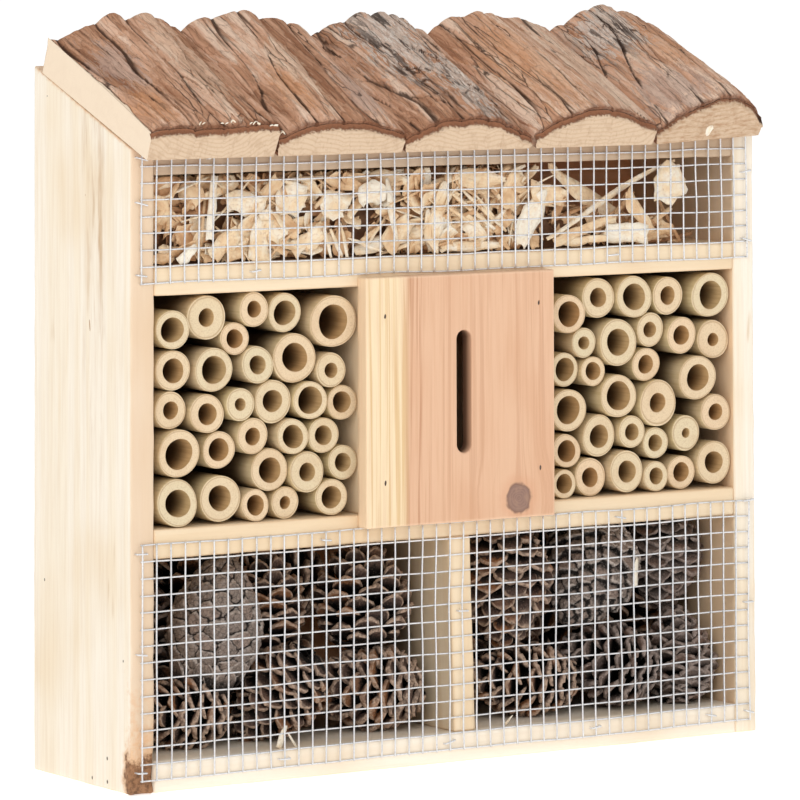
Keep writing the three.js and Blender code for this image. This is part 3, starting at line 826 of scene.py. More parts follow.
def bark_material(roof_angle):
    """Pine bark: long plates and small flakes with thin dark seams, partly painted shade, and pale sawn ends
    under a dark rim.
    """
    graph = Graph("bark", roughness=0.85, specular=0.2)
    roof = graph.scaled(graph.place, turn=(-roof_angle, 0, 0))
    sway = graph.noise(roof, 70.0, 4.0, output=1)
    most_sway = (0.003, 0.02, 0.003)
    small = graph.node("ShaderNodeVectorMath", {0: sway, 1: most_sway}, operation="MULTIPLY").outputs[0]
    bent = graph.node("ShaderNodeVectorMath", {0: roof, 1: small}, operation="ADD").outputs[0]
    long, short = graph.scaled(bent, y=0.05), graph.scaled(bent, y=0.2)
    plates, plate_edge = graph.cells(long, 230.0), graph.cell_edges(long, 230.0)
    flakes, flake_edge = graph.cells(short, 480.0), graph.cell_edges(short, 480.0)
    coarse = graph.noise(long, 240.0, 5.0, 0.68)
    fine = graph.noise(short, 900.0, 4.0, 0.7)
    speck = graph.noise(roof, 1100.0, 3.0, 0.6)
    # The outside: a tone for each plate, patches, lichen and soot, then specks and seams.
    tone = graph.roughen(graph.field("plate"), plates, 0.2, 0.1, 0.9)
    tone = graph.roughen(tone, flakes, 0.14, 0.1, 0.9)
    tone = graph.roughen(tone, coarse, 0.2)
    outside = graph.ramp(
        tone, (158, 110, 82), (186, 138, 108), (206, 158, 128), (222, 178, 150), (238, 206, 182),
    )
    for kind, (paint, most) in PATCHES.items():
        share = graph.roughen(graph.field(kind), flakes, 0.22, 0.1, 0.9)
        outside = graph.coats(outside, (graph.roughen(share, fine, 0.25), 0.42, 0.66, most, paint))
    lichen = graph.times(graph.field("grey"), graph.fade(fine, 0.49, 0.6))
    outside = graph.blend(graph.times(lichen, 0.85), outside, (240, 230, 220))
    soot = graph.times(graph.field("grey"), graph.fade(coarse, 0.52, 0.58))
    outside = graph.blend(graph.times(soot, 0.9), outside, (58, 48, 44))
    outside = graph.coats(
        outside,
        (fine, 0.54, 0.72, 0.4, (130, 88, 64)),
        (speck, 0.62, 0.74, 0.4, (110, 74, 54)),
    )
    outside = graph.blend(graph.fade(speck, 0.25, 0.38, 0.3, 0.0), outside, (232, 204, 180))
    broken = graph.fade(graph.noise(graph.scaled(roof, y=0.2), 60.0, 2.0), 0.5, 0.58)
    lines = graph.times(graph.fade(plate_edge, 0.0, 0.04, 1.0, 0.0), broken)
    small_broken = graph.fade(graph.noise(roof, 210.0, 2.0), 0.5, 0.66)
    small_lines = graph.times(graph.fade(flake_edge, 0.0, 0.05, 0.4, 0.0), small_broken)
    # The dark seams are partly the cracks' own dark bark and partly painted shade in them.
    seam = graph.roughen(graph.field("crack"), coarse, 0.2, 0.35, 0.65)
    dark = graph.math("MAXIMUM", graph.math("MAXIMUM", lines, small_lines), graph.fade(seam, 0.35, 0.9))
    outside = graph.blend(graph.times(dark, 0.88), outside, (62, 40, 29))
    # Painted shade: the bark darkens along its rolled front edge.
    rim = graph.roughen(graph.field("rim"), coarse, 0.25)
    outside = graph.coats(outside, (rim, 0.25, 1.0, 0.85, (124, 80, 57)))
    # Sawn ends: pale rings and hairs, torn across where the end has split. The clean left face is paler.
    wavy = graph.fade(graph.noise(roof, 45.0, 2.0), 0.3, 0.7, -1.4, 1.4)
    rings = graph.math("SINE", graph.times(graph.plus(graph.field("ring"), wavy), 3.4))
    hairs = graph.noise(graph.scaled(roof, z=0.25), 900.0, 3.0)
    sawn = graph.coats(
        graph.blend(graph.fade(rings, 0.1, 1.0, 0.0, 0.32), (214, 189, 162), (186, 152, 120)),
        (graph.noise(roof, 260.0, 4.0), 0.5, 0.75, 0.5, (188, 158, 130)),
        (speck, 0.56, 0.72, 0.5, (180, 150, 124)),
        (hairs, 0.55, 0.75, 0.3, (172, 138, 110)),
    )
    torn = graph.fade(graph.noise(graph.scaled(roof, x=0.22), 760.0, 4.0, 0.7), 0.42, 0.7, 0.12, 0.9)
    sawn = graph.blend(graph.times(graph.field("split"), torn), sawn, (176, 138, 106))
    sawn = graph.blend(graph.times(graph.field("clean"), 0.8), sawn, (247, 228, 204))
    # The dark band of bark round the sawn ends.
    depth = graph.roughen(graph.field("depth"), speck, 0.4)
    band = graph.blend(graph.fade(depth, 0.0, 1.6), (150, 102, 75), (96, 62, 45))
    band = graph.coats(band, (coarse, 0.42, 0.65, 0.6, (150, 102, 75)))
    band = graph.blend(graph.times(graph.field("black"), 0.85), band, (54, 44, 39))
    sawn = graph.blend(graph.fade(depth, 1.0, 1.9, 1.0, 0.0), sawn, band)
    graph.set(graph.blend(graph.fade(graph.field("cut"), 0.55, 0.95), outside, sawn), "Base Color")
    on_bark = graph.fade(graph.field("cut"), 0.2, 0.8, 1.0, 0.0)
    relief = graph.plus(graph.fade(plate_edge, 0.0, 0.12), graph.fade(plates, 0.1, 0.9))
    relief = graph.plus(relief, graph.times(graph.fade(flake_edge, 0.0, 0.14), 0.5))
    relief = graph.plus(relief, graph.times(flakes, 0.4))
    graph.bump(graph.times(relief, on_bark), 0.6 * MM, 0.8)
    graph.bump(graph.times(coarse, on_bark), 0.6 * MM, 0.7)
    graph.bump(graph.times(fine, on_bark), 0.4 * MM, 0.8)
    graph.bump(speck, 0.12 * MM, 0.6)
    return graph.material


# Pale crumbs on the bark near its front edge: share across the roof, and millimetres up the slope.
CRUMBS = [
    (0.075, 2.0), (0.11, 1.4), (0.125, 3.0), (0.15, 1.2), (0.16, 2.2), (0.163, 1.0), (0.178, 2.6),
    (0.185, 1.3), (0.19, 3.4), (0.2, 1.1), (0.655, 52.0),
]
CRUMB_RISE = 3.0 * MM
FLAKE_RISE = 6.6 * MM
CRUMB_LOOKS = {"twist": 0.3, "torn": 0.4, "curl": 0.1, "tone": 1.0}


def add_crumbs(slope, material):
    """Torn bits of pale wood left on the bark, and one flake on the end of the last slab."""
    tables = [slab_table(slope, node) for node in SLABS]
    left, right = tables[0][0][..., 0].min(), tables[-1][0][..., 0].max()
    rng = random.Random("crumbs")
    heap = Heap()
    for share, up in CRUMBS:
        x = left + (right - left) * share
        front_row = next(rows[0] for rows, _ in tables if x < rows[0, :, 0].max())
        along = front_row[:, 1].mean() + up * MM + FRONT_TRIM
        height = np.interp(x, front_row[:, 0], front_row[:, 2]) + CRUMB_RISE
        place = slope.to_house(np.array([x, along, height]))
        for _ in range(2):
            axes = chip_axes(rng.uniform(-0.4, 0.4), rng.uniform(0.7, 1.6), rng.uniform(-1, 1))
            spot = place + np.array([rng.uniform(-1, 1), rng.uniform(-0.6, 0.6), 0]) * MM
            size = rng.uniform(1.0, 2.2) * MM, rng.uniform(0.7, 1.3) * MM, 0.5 * MM
            chip_shape(heap, spot, size, axes, rng, bend=0.4, **CRUMB_LOOKS)
    rows, base = tables[-1]
    near, far = rows[0, :, 0].min(), rows[0, :, 0].max()
    place = [near + 0.44 * (far - near), rows[0, :, 1].min() + FRONT_TRIM - 0.5 * MM, base + FLAKE_RISE]
    size = 5.5 * MM, 3.4 * MM, 0.6 * MM
    axes = chip_axes(-0.5, 0.3, 0.2)
    chip_shape(heap, slope.to_house(np.array(place)), size, axes, rng, bend=0.8, **CRUMB_LOOKS)
    settle_piece(heap.piece("roof_crumbs", material), "wood_chips")


def add_slabs(chip_wood):
    slope = Slope()
    bark = bark_material(slope.angle)
    add_crumbs(slope, chip_wood)
    for index, (node, style) in enumerate(SLABS.items()):
        slab_piece(slope, node, style, 100 + 17 * index, bark)


# ---- Wire meshes and staples ----

CELLS_ACROSS = 45
WIRE_RADIUS = 0.35 * MM
WIRE_SIDES = 7
STEPS_PER_CELL = 3
STUB = 0.35 * MM
# The uprights lie in front of the level wires, which lie just off the boards.
UPRIGHTS_OFF_BOARD = 3 * WIRE_RADIUS
LEVELS_OFF_BOARD = 1.15 * WIRE_RADIUS
CROWN_OFF_BOARD = 4.4 * WIRE_RADIUS
STAPLE_RADIUS = 0.36 * MM
STAPLE_CORNER = 0.45 * MM
STAPLE_LEG = 3.2 * MM
CAD_STAPLES = 11
# Staples as (upright, cell from the bottom) beside those in the CAD; a cell may be a fraction.
MORE_STAPLES = {
    "lower": [(0, 7), (45, 13.6), (45, 7), (10, 0), (22, 0), (33, 0), (42, 0)],
    "upper": [(0, 4.3), (5, 7), (22, 7), (8, 0), (34.5, 0), (45, 0.6)],
}


def wire_mesh_piece(node, cells_up, material, seed):
    """Uprights in front of level wires, welded where they cross, all slightly out of true.

    Returns the uprights' and the level wires' places, and the plane of the boards behind them.
    """
    low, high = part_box(node)
    half = (high.x - low.x) / CELLS_ACROSS / 14
    uprights = np.linspace(low.x + half, high.x - half, CELLS_ACROSS + 1)
    levels = np.linspace(low.z + half, high.z - half, cells_up + 1)
    pitch = uprights[1] - uprights[0]
    heap = Heap()

    def bend(x, z, salt):
        coarse = layered_noise(beside(x / (31 * MM), z / (31 * MM), salt), 2, seed)
        fine = smooth_noise(beside(x / pitch, z / pitch, salt + 5.0) * 0.5, seed + 3)
        return 0.32 * MM * coarse + 0.1 * MM * fine

    def belly(x, z):
        noise = layered_noise(beside(x / (45 * MM), z / (30 * MM), 0), 2, seed + 7)
        return 0.28 * MM * np.clip(noise + 0.5, 0, 2)

    def wire(x, off_board, z, number):
        path = beside(x, high.y - off_board, z)
        heap.add(*tube(path, WIRE_RADIUS, WIRE_SIDES), tone=random.Random(f"{seed} {number}").random())

    z = np.linspace(levels[0] - STUB, levels[-1] + STUB, cells_up * STEPS_PER_CELL + 1)
    for index, x in enumerate(uprights):
        shift = bend(x, z, 1.0) + bend(x, z, 20.0 + index) * 0.35
        wire(x + shift, UPRIGHTS_OFF_BOARD + belly(x, z), z, index)
    x = np.linspace(uprights[0] - STUB, uprights[-1] + STUB, CELLS_ACROSS * STEPS_PER_CELL + 1)
    for index, z in enumerate(levels):
        shift = bend(x, z, 2.0) + bend(x, z, 90.0 + index) * 0.45
        wire(x, LEVELS_OFF_BOARD + belly(x, z), z + shift, 500 + index)
    settle_piece(heap.piece(node + "_wires", material), "galvanised_wire", node)
    return uprights, levels, high.y


def galvanised_material():
    graph = Graph("galvanised_wire", roughness=0.34, metallic=0.6, specular=0.6)
    fine = graph.noise(graph.place, 2600.0, 3.0, 0.6)
    spangle = graph.blend(graph.cells(graph.place, 900.0), (222, 223, 226), (242, 242, 244))
    colour = graph.coats(spangle, (fine, 0.58, 0.8, 0.4, (172, 174, 178)))
    graph.set(graph.blend(graph.times(graph.field("tone"), 0.3), colour, (190, 192, 196)), "Base Color")
    graph.set(graph.fade(fine, 0.3, 0.75, 0.24, 0.5), "Roughness")
    graph.bump(fine, 0.04 * MM, 0.6)
    return graph.material


def staple_shape(heap, x, board, z, rng):
    """One wire staple: a crown over the upright and two legs bent into the board."""
    half = rng.uniform(1.9, 2.5) * MM
    rise = CROWN_OFF_BOARD + rng.uniform(0.1, 0.4) * MM
    turn = rng.uniform(-0.3, 0.3)
    arc = np.linspace(0, math.pi / 2, 5)
    corner = beside(-half + STAPLE_CORNER * (1 - np.cos(arc)), rise - STAPLE_CORNER * (1 - np.sin(arc)))
    left = np.concatenate([[[-half, -STAPLE_LEG], [-half, 0]], corner])
    across, out = np.concatenate([left, left[::-1] * [-1, 1]]).T
    path = beside(x + across * math.cos(turn), board - out, z + across * math.sin(turn))
    heap.add(*tube(path, STAPLE_RADIUS, 8), tone=rng.random())


def add_wires():
    material = galvanised_material()
    meshes = {
        "lower": wire_mesh_piece("lower_wire_mesh", 14, material, 301),
        "upper": wire_mesh_piece("upper_wire_mesh", 8, material, 302),
    }
    for number in range(1, CAD_STAPLES + 1):
        node = f"staple_{number}"
        low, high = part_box(node)
        heap = Heap()
        staple_shape(heap, (low.x + high.x) / 2, high.y, (low.z + high.z) / 2, random.Random(node))
        settle_piece(heap.piece(node + "_wire", material), "galvanised_wire", node)
    for name, (uprights, levels, board) in meshes.items():
        rng = random.Random(name)
        heap = Heap()
        for upright, cell in MORE_STAPLES[name]:
            x = np.interp(upright, np.arange(len(uprights)), uprights)
            z = np.interp(cell + 0.5, np.arange(len(levels)), levels)
            staple_shape(heap, x, board, z, rng)
        settle_piece(heap.piece(name + "_mesh_more_staples", material), "galvanised_wire")


# ---- Canes ----

CANE_SIDES = 44
BORE_DEPTH = 44 * MM
# Which part of a cane a point is on, as its material reads it.
SKIN, FACE, BORE = 0.0, 1.0, 2.0


def cane_mouths(node):
    """Every cane of a CAD row: its centre, outer radius, bore radius, mouth and back."""
    points = node_points(node)
    keys = np.round(points / (0.02 * MM)).astype(np.int64)
    _, index = np.unique(keys, axis=0, return_inverse=True)
    index = index.reshape(-1)
    groups = {}

    def find(item):
        while groups.setdefault(item, item) != item:
            item = groups[item]
        return item

    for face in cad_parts[node].data.polygons:
        if face.normal.y < -0.99 and face.center.y < 0:
            corners = [find(index[v]) for v in face.vertices]
            for corner in corners[1:]:
                groups[find(corner)] = find(corners[0])
    mouths = {}
    for vertex, point in enumerate(points):
        if index[vertex] in groups:
            mouths.setdefault(find(index[vertex]), []).append(point)
    canes = []
    for ring in mouths.values():
        ring = np.array(ring)
        centre = (ring.min(0) + ring.max(0)) / 2
        reach = np.hypot(ring[:, X] - centre[X], ring[:, Z] - centre[Z])
        canes.append((centre, reach.max(), reach.min(), ring[:, Y].mean(), points[:, Y].max()))
    return sorted(canes, key=lambda cane: cane[0][X])


def cane_shape(heap, centre, radius, bore, mouth, back, seed):
    """One cut cane: a slightly oval tube with a crisp rim, a fibrous face and a pale bore."""
    rng = random.Random(seed)
    angles = circle(CANE_SIDES)
    squash, phase = rng.uniform(0.0, 0.035), rng.uniform(0, TAU)
    oval = 1 - squash * np.cos(2 * (angles - phase)) - squash
    oval *= 1 + 0.012 * np.sin(3 * angles + rng.uniform(0, TAU))
    bore_shape = 1 + rng.uniform(0.0, 0.045) * np.cos(2 * (angles - rng.uniform(0, TAU)))
    bore_shape += 0.014 * np.sin(3 * angles + rng.uniform(0, TAU))
    drift = np.array([rng.uniform(-0.03, 0.03), rng.uniform(-0.03, 0.03)]) * radius
    tilt = rng.uniform(-0.05, 0.05), rng.uniform(-0.05, 0.05)
    joint = rng.uniform(14, 44) * MM
    outer, wall = radius * 0.985, radius - bore
    # Rings from the back over the skin, the cut face and into the bore: distance behind the mouth, radius,
    # part and share of the wall's thickness. The skin swells at its joint.
    skin = [
        back - mouth, 0.8 * (back - mouth), joint + 5 * MM, joint + 1.2 * MM, joint, joint - 1.2 * MM,
        joint - 5 * MM, 8 * MM, 3 * MM, 0.6 * MM,
    ]
    swell = [1.0 + 0.03 * hill(distance - joint, 1.4 * MM) for distance in skin]
    rings = [(distance, outer * more, SKIN, 0.0) for distance, more in zip(skin, swell)]
    rings.append((0.12 * MM, outer - 0.06 * MM, SKIN, 0.3))
    rings += [(0.0, outer - wall * share, FACE, share) for share in (0.04, 0.12, 0.3, 0.5, 0.7, 0.88, 0.97)]
    rings += [(depth * MM, bore * (1 - 0.002 * depth), BORE, 1.0) for depth in (0.15, 0.9, 3, 7, 14, 26, 40)]
    rings.append((BORE_DEPTH, bore * 0.5, BORE, 1.0))
    rings.append((BORE_DEPTH + 0.2 * MM, 0.02 * MM, BORE, 1.0))
    points = []
    for distance, reach, part, _ in rings:
        inward = min(1.0, max(0.0, (radius - reach) / wall))
        outline = reach * (oval * (1 - inward) + bore_shape * inward)
        x = np.cos(angles) * outline + drift[0] * inward
        z = np.sin(angles) * outline + drift[1] * inward
        y = mouth + distance
        if distance < 2 * MM:
            y = y + x * tilt[0] + z * tilt[1]
        if part == FACE:
            pores = beside(np.cos(angles) * reach, np.sin(angles) * reach, hash_text(seed) % 997)
            y = y + 0.07 * MM * layered_noise(pores / (0.9 * MM), 2, 5)
        points.append(beside(centre[X] + x, y, centre[Z] + z))
    depth, _, part, share = np.repeat(rings, CANE_SIDES, axis=0).T
    faces = sheet_faces(len(rings), CANE_SIDES, wrap=True)
    fields = {"part": part, "share": share, "tone": rng.random(), "warmth": rng.random(), "deep": depth / MM}
    heap.add(np.concatenate(points), faces, **fields)


def cane_material():
    graph = Graph("cane", roughness=0.5, specular=0.35)
    streak = graph.noise(graph.scaled(graph.place, y=0.03), 900.0, 3.0, 0.6)
    pores = graph.noise(graph.place, 1900.0, 3.0, 0.65)
    cloud = graph.noise(graph.place, 90.0, 2.0)
    tone, warmth = graph.field("tone"), graph.field("warmth")
    deep, share, part = graph.field("deep"), graph.field("share"), graph.field("part")
    skin = graph.coats(
        graph.blend(tone, (216, 196, 152), (222, 198, 162)),
        (streak, 0.42, 0.7, 0.5, (190, 168, 122)),
        (cloud, 0.5, 0.72, 0.35, (196, 166, 122)),
        # Painted shade: the skin darkens behind the mouth.
        (deep, 1.0, 16.0, 0.92, (84, 60, 40)),
    )
    face = graph.coats(
        graph.blend(warmth, (222, 206, 172), (230, 202, 168)),
        (cloud, 0.5, 0.7, 0.3, (206, 172, 134)),
        (pores, 0.46, 0.68, 0.5, (194, 166, 130)),
    )
    wavy = graph.roughen(share, cloud, 0.05)
    outline = graph.times(graph.fade(wavy, 0.05, 0.12), graph.fade(wavy, 0.14, 0.26, 1.0, 0.0))
    face = graph.blend(graph.times(outline, 0.6), face, (172, 140, 100))
    rim = graph.fade(share, 0.0, 0.1, 1.0, 0.0)
    face = graph.blend(graph.times(rim, 0.5), face, (236, 216, 186))
    face = graph.coats(face, (share, 0.86, 1.0, 0.5, (232, 206, 168)))
    bore = graph.coats(
        graph.blend(warmth, (216, 188, 140), (206, 164, 112)),
        (streak, 0.4, 0.7, 0.4, (170, 130, 84)),
        # Painted shade: the bore darkens with depth.
        (deep, 1.5, 16.0, 0.92, (90, 64, 38)),
    )
    colour = graph.coats(skin, (part, 0.3, 0.8, 1.0, face), (part, 1.3, 1.8, 1.0, bore))
    graph.set(colour, "Base Color")
    graph.set(graph.fade(part, 0.3, 0.9, 0.38, 0.75), "Roughness")
    graph.bump(streak, 0.12 * MM, 0.5)
    graph.bump(pores, 0.08 * MM, 0.5)
    return graph.material


def add_canes():
    material = cane_material()
    for node in sorted(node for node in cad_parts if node.startswith("canes_")):
        heap = Heap()
        for index, cane in enumerate(cane_mouths(node)):
            cane_shape(heap, *cane, f"{node} {index}")
        settle_piece(heap.piece(node + "_tubes", material), "cane", node)


# ---- Pine cones ----

GOLDEN_TURN = math.pi * (3 - math.sqrt(5))
SCALE_LINES = [[0, 0.3, 0.5, 0.66, 0.78, 0.87, 0.94, 0.98, 1.0], np.linspace(0, 1, 9), [0, 0.5, 1.0]]
SKIN_ROWS, SKIN_COLUMNS = 170, 220
THINNEST_CORE = 0.8 * MM

# Kinds of cone: scales on the whole spiral and how many of them are made; their tilt in degrees at the base
# and the tip, and how far it strays; their width, thickness, curl, hollow and knob; the size of the core and
# of the cone.
OPEN = {
    "scales": 72, "made": 72, "tilt": (-2, 62), "loose": 8, "width": 12.0 * MM, "thick": 2.2 * MM,
    "curl": 1.1, "spoon": 0.12, "knob": 0.3, "core": 0.26, "grow": 1.14,
}
HALF_OPEN = {
    "scales": 90, "made": 90, "tilt": (14, 66), "loose": 6, "width": 12.0 * MM, "thick": 2.9 * MM,
    "curl": 0.7, "spoon": 0.12, "knob": 0.24, "core": 0.5, "grow": 1.1,
}
# A shut cone has a skin of tiles and a few loose scales near its base.
CLOSED = {
    "scales": 110, "made": 26, "tilt": (30, 230), "loose": 5, "width": 10 * MM, "thick": 2.2 * MM,
    "curl": 0.5, "spoon": 0.12, "knob": 0.2, "core": 0.5, "grow": 1.08,
    "skin": {"tiles": 96, "grow": 1.04, "groove": 1.0 * MM, "slope": 0.5 * MM, "shade": 0.06},
}
TILED = {
    **CLOSED, "made": 34, "tilt": (20, 160), "grow": 1.1,
    "skin": {"tiles": 118, "grow": 1.05, "groove": 0.5 * MM, "slope": 1.7 * MM, "shade": 0.34},
}
# How far each cone has opened, and its colour.
CONES = {
    "left": [
        (CLOSED, "closed"), (OPEN, "grey"), (OPEN, "brown"), (OPEN, "brown"), (OPEN, "brown"),
        (OPEN, "brown"), (HALF_OPEN, "brown"),
    ],
    "right": [
        (HALF_OPEN, "brown"), (TILED, "closed"), (HALF_OPEN, "grey"), (HALF_OPEN, "grey"), (OPEN, "grey"),
        (OPEN, "brown"), (OPEN, "brown"),
    ],
}
# For each colour: its slot, then the material's deep, body, face, tint and rim colours, its
# contrast and how cracked it is.
# The deep colour is painted shade in the scale roots and on the core, and also colours cracks; the rim
# colour is painted highlight.
CONE_LOOKS = {
    "closed": (
        "grey_cone", (30, 24, 21), (128, 113, 104), (160, 145, 134), (152, 132, 120), (212, 198, 188),
        0.9, 0.7,
    ),
    "grey": (
        "grey_cone", (12, 10, 9), (70, 58, 52), (120, 104, 96), (122, 92, 76), (188, 170, 160),
        0.75, 0.6,
    ),
    "brown": (
        "brown_cone", (10, 7, 6), (56, 39, 32), (112, 88, 77), (150, 100, 63), (208, 180, 158),
        1.0, 0.3,
    ),
}
# Cones behind the first row: middle as shares of the compartment's width, depth and height, from its low
# left back corner, then length, radius and turn in degrees. The left compartment has the first four.
REAR_CONES = [
    ((0.12, 0.3, 0.3), 52 * MM, 20 * MM, 20), ((0.38, 0.25, 0.75), 56 * MM, 21 * MM, 100),
    ((0.62, 0.3, 0.3), 54 * MM, 20 * MM, -30), ((0.6, 0.22, 0.78), 50 * MM, 20 * MM, 160),
    ((0.84, 0.3, 0.62), 52 * MM, 18 * MM, 80),
]
REAR_COUNT = {"left": 4, "right": 5}
REAR_LEAN = 0.15


def cone_frame(node):
    """The cone's middle, its direction from base to tip, its length and its largest radius."""
    points = node_points(node)
    middle = points.mean(0)
    _, _, axes = np.linalg.svd(points - middle, full_matrices=False)
    candidates = []
    for axis in axes:
        along = (points - middle) @ axis
        radii = np.linalg.norm(points - middle - np.outer(along, axis), axis=1)
        candidates.append((axis, along, radii))
    # Only the axis of revolution leaves both end points on itself.
    axis, along, radii = min(
        candidates, key=lambda found: found[2][found[1].argmin()] + found[2][found[1].argmax()],
    )
    low, high = along.min(), along.max()
    half_way = (low + high) / 2
    heavy = (radii * along).sum() / radii.sum() - half_way
    return middle + axis * half_way, axis if heavy < 0 else -axis, high - low, radii.max()


def cone_radius(share, radius):
    """The cone's outline: the largest radius two fifths of the way from base to tip."""
    return radius * np.maximum(np.sin(math.pi * np.clip(share, 0, 1) ** 0.75), 0) ** 0.7


def cone_sides(tip):
    """Two directions square to the cone's axis and to each other."""
    side = np.cross(tip, [0.0, 0.0, 1.0] if abs(tip[Z]) < NEARLY_UPRIGHT else [1.0, 0.0, 0.0])
    side /= np.linalg.norm(side)
    return side, np.cross(tip, side)


def closed_cone(heap, place, style, seed):
    """A shut cone as one skin: grooved tiles on a golden spiral, each raised towards the tip."""
    centre, tip, length, radius = place
    length, radius = length * style["grow"], radius * style["grow"]
    side, front = cone_sides(tip)
    rng = random.Random(seed)
    tiles = range(style["tiles"])
    tile_share = np.array([(index + 0.5 + rng.uniform(-0.3, 0.3)) / len(tiles) for index in tiles])
    tile_angle = np.array([index * GOLDEN_TURN + rng.uniform(-0.12, 0.12) for index in tiles])
    tile_tone = np.array([rng.random() for _ in tiles])
    share, angle = np.meshgrid(np.linspace(0, 1, SKIN_ROWS), circle(SKIN_COLUMNS), indexing="ij")
    share, angle = share.ravel(), angle.ravel()
    reach = cone_radius(share, radius)
    outward = np.outer(np.cos(angle), side) + np.outer(np.sin(angle), front)
    points = centre + np.outer((share - 0.5) * length, tip) + outward * reach[:, None]
    # The nearest tile's middle, how far towards the tip and round the cone it lies, and its groove.
    sway = 0.6 * MM * layered_noise(points / (2.2 * MM), 2, hash_text(seed) % 997)[:, None]
    along = (share[:, None] - tile_share) * length + sway
    around = ((angle[:, None] - tile_angle + math.pi) % TAU - math.pi) * reach[:, None]
    distance = np.hypot(along, around + sway)
    nearest = distance.argmin(1)
    every = np.arange(len(share))
    first, own_along = distance[every, nearest], along[every, nearest]
    distance[every, nearest] = np.inf
    groove = (distance.min(1) - first) / 2
    height = style["groove"] * (1 - hill(groove, 0.55 * MM))
    height += style["slope"] * np.clip(own_along / (3.4 * MM), -1, 1)
    height += 0.45 * MM * hill(first, 0.8 * MM)
    height += 0.42 * MM * layered_noise(points / (1.1 * MM), 3, hash_text(seed) % 991)
    points += outward * (height * rising(np.minimum(share, 1 - share), 0.05))[:, None]
    # Painted highlight on each tile's raised free edge; painted shade in the grooves and on each tile's base
    # side, under its neighbour.
    raised = rising(own_along, 2.0 * MM) * np.clip(1.4 - groove / (1.1 * MM), 0, 1)
    bright = 0.56 + 0.44 * rising(groove, 0.6 * MM) - style["shade"] * rising(-own_along, 2.5 * MM)
    faces = sheet_faces(SKIN_ROWS, SKIN_COLUMNS, wrap=True)
    heap.add(points, faces, reach=bright, edge=raised, tone=tile_tone[nearest])


def cone_scales(heap, place, style, seed):
    """A cone's scales on a golden spiral, round a thin core; place is what cone_frame returns."""
    centre, tip, length, radius = place
    length, radius = length * style["grow"], radius * style["grow"]
    side, front = cone_sides(tip)
    rng = random.Random(seed)
    # One scale in unit size: l along it, w from -1 to 1 across it and h from -1 to 1 through it.
    template, faces = block_shell(SCALE_LINES)
    l, w, h = template.T
    w, h = w * 2 - 1, h * 2 - 1
    blunt = np.sqrt(np.clip(1 - (np.clip(l - 0.74, 0, 1) / 0.265) ** 2, 0.03, 1))
    swell = rising(l - 0.5, 0.3)
    swell = swell * swell * (3 - 2 * swell)
    profile = (0.32 + 0.68 * rising(l, 0.72) ** 0.9) * blunt
    body = (0.22 + 0.78 * swell) * (1 - 0.55 * w**2) * (0.35 + 0.65 * blunt)
    keel = 0.22 * swell * hill(l - 0.86, 0.06)
    knob = style["knob"] * np.exp(-((w / 0.22) ** 2 + ((l - 0.86) / 0.07) ** 2))
    high = h / 2 * body + (keel + knob) * (h > 0.2)
    # The scale's edges and tip, which the material paints light as painted highlight.
    rim = np.clip(np.maximum(np.abs(w) ** 3, (l - 0.8) / 0.2), 0, 1) * swell
    for index in range(style["made"]):
        share = (index + 0.5) / style["scales"]
        reach = cone_radius(0.04 + 0.92 * share, radius) * rng.uniform(0.93, 1.03)
        angle = index * GOLDEN_TURN + rng.uniform(-0.1, 0.1)
        outward = side * math.cos(angle) + front * math.sin(angle)
        sideways = np.cross(tip, outward)
        tilt = np.interp(share**1.2, (0, 1), style["tilt"]) + rng.gauss(0, 1) * style["loose"]
        tilt, yaw = math.radians(tilt), rng.gauss(0, 0.1)
        run = outward * math.cos(tilt) + tip * math.sin(tilt)
        run, sideways = (
            run * math.cos(yaw) + sideways * math.sin(yaw), sideways * math.cos(yaw) - run * math.sin(yaw),
        )
        lift = -np.cross(sideways, run)
        span = min(reach * 0.9 / max(math.cos(tilt), 0.35), length * 0.4)
        middle_width = 0.6 + 0.4 * math.sin(math.pi * min(share + 0.12, 1))
        breadth = style["width"] * middle_width * rng.uniform(0.85, 1.15)
        thick = style["thick"] * rng.uniform(0.8, 1.25)
        start = centre + tip * (share - 0.5) * length * 0.94 + outward * reach - run * span
        salt = rng.uniform(0, 500)
        chipped = 1 + 0.1 * layered_noise(beside(l * 4, w * 2, salt), 2, 3)
        across = w / 2 * profile * breadth * chipped
        rough = 0.09 * layered_noise(template * [8, 6, 3] + salt, 2, 5) * swell
        curl = style["curl"] * thick * (l**2 - 0.3) - style["spoon"] * breadth * w**2 * l
        up = thick * (high + rough) + curl
        points = start + np.outer(l * span, run) + np.outer(across, sideways) + np.outer(up, lift)
        heap.add(points, faces, reach=l, edge=rim, tone=rng.random())
    stations = np.linspace(0.03, 0.93, 9)
    path = centre + np.outer((stations - 0.5) * length, tip)
    radii = np.maximum(cone_radius(stations, radius) * style["core"], THINNEST_CORE)
    # The core takes the deep colour: painted shade between the scales.
    heap.add(*tube(path, radii, 14), reach=0.0, edge=0.0, tone=0.2)


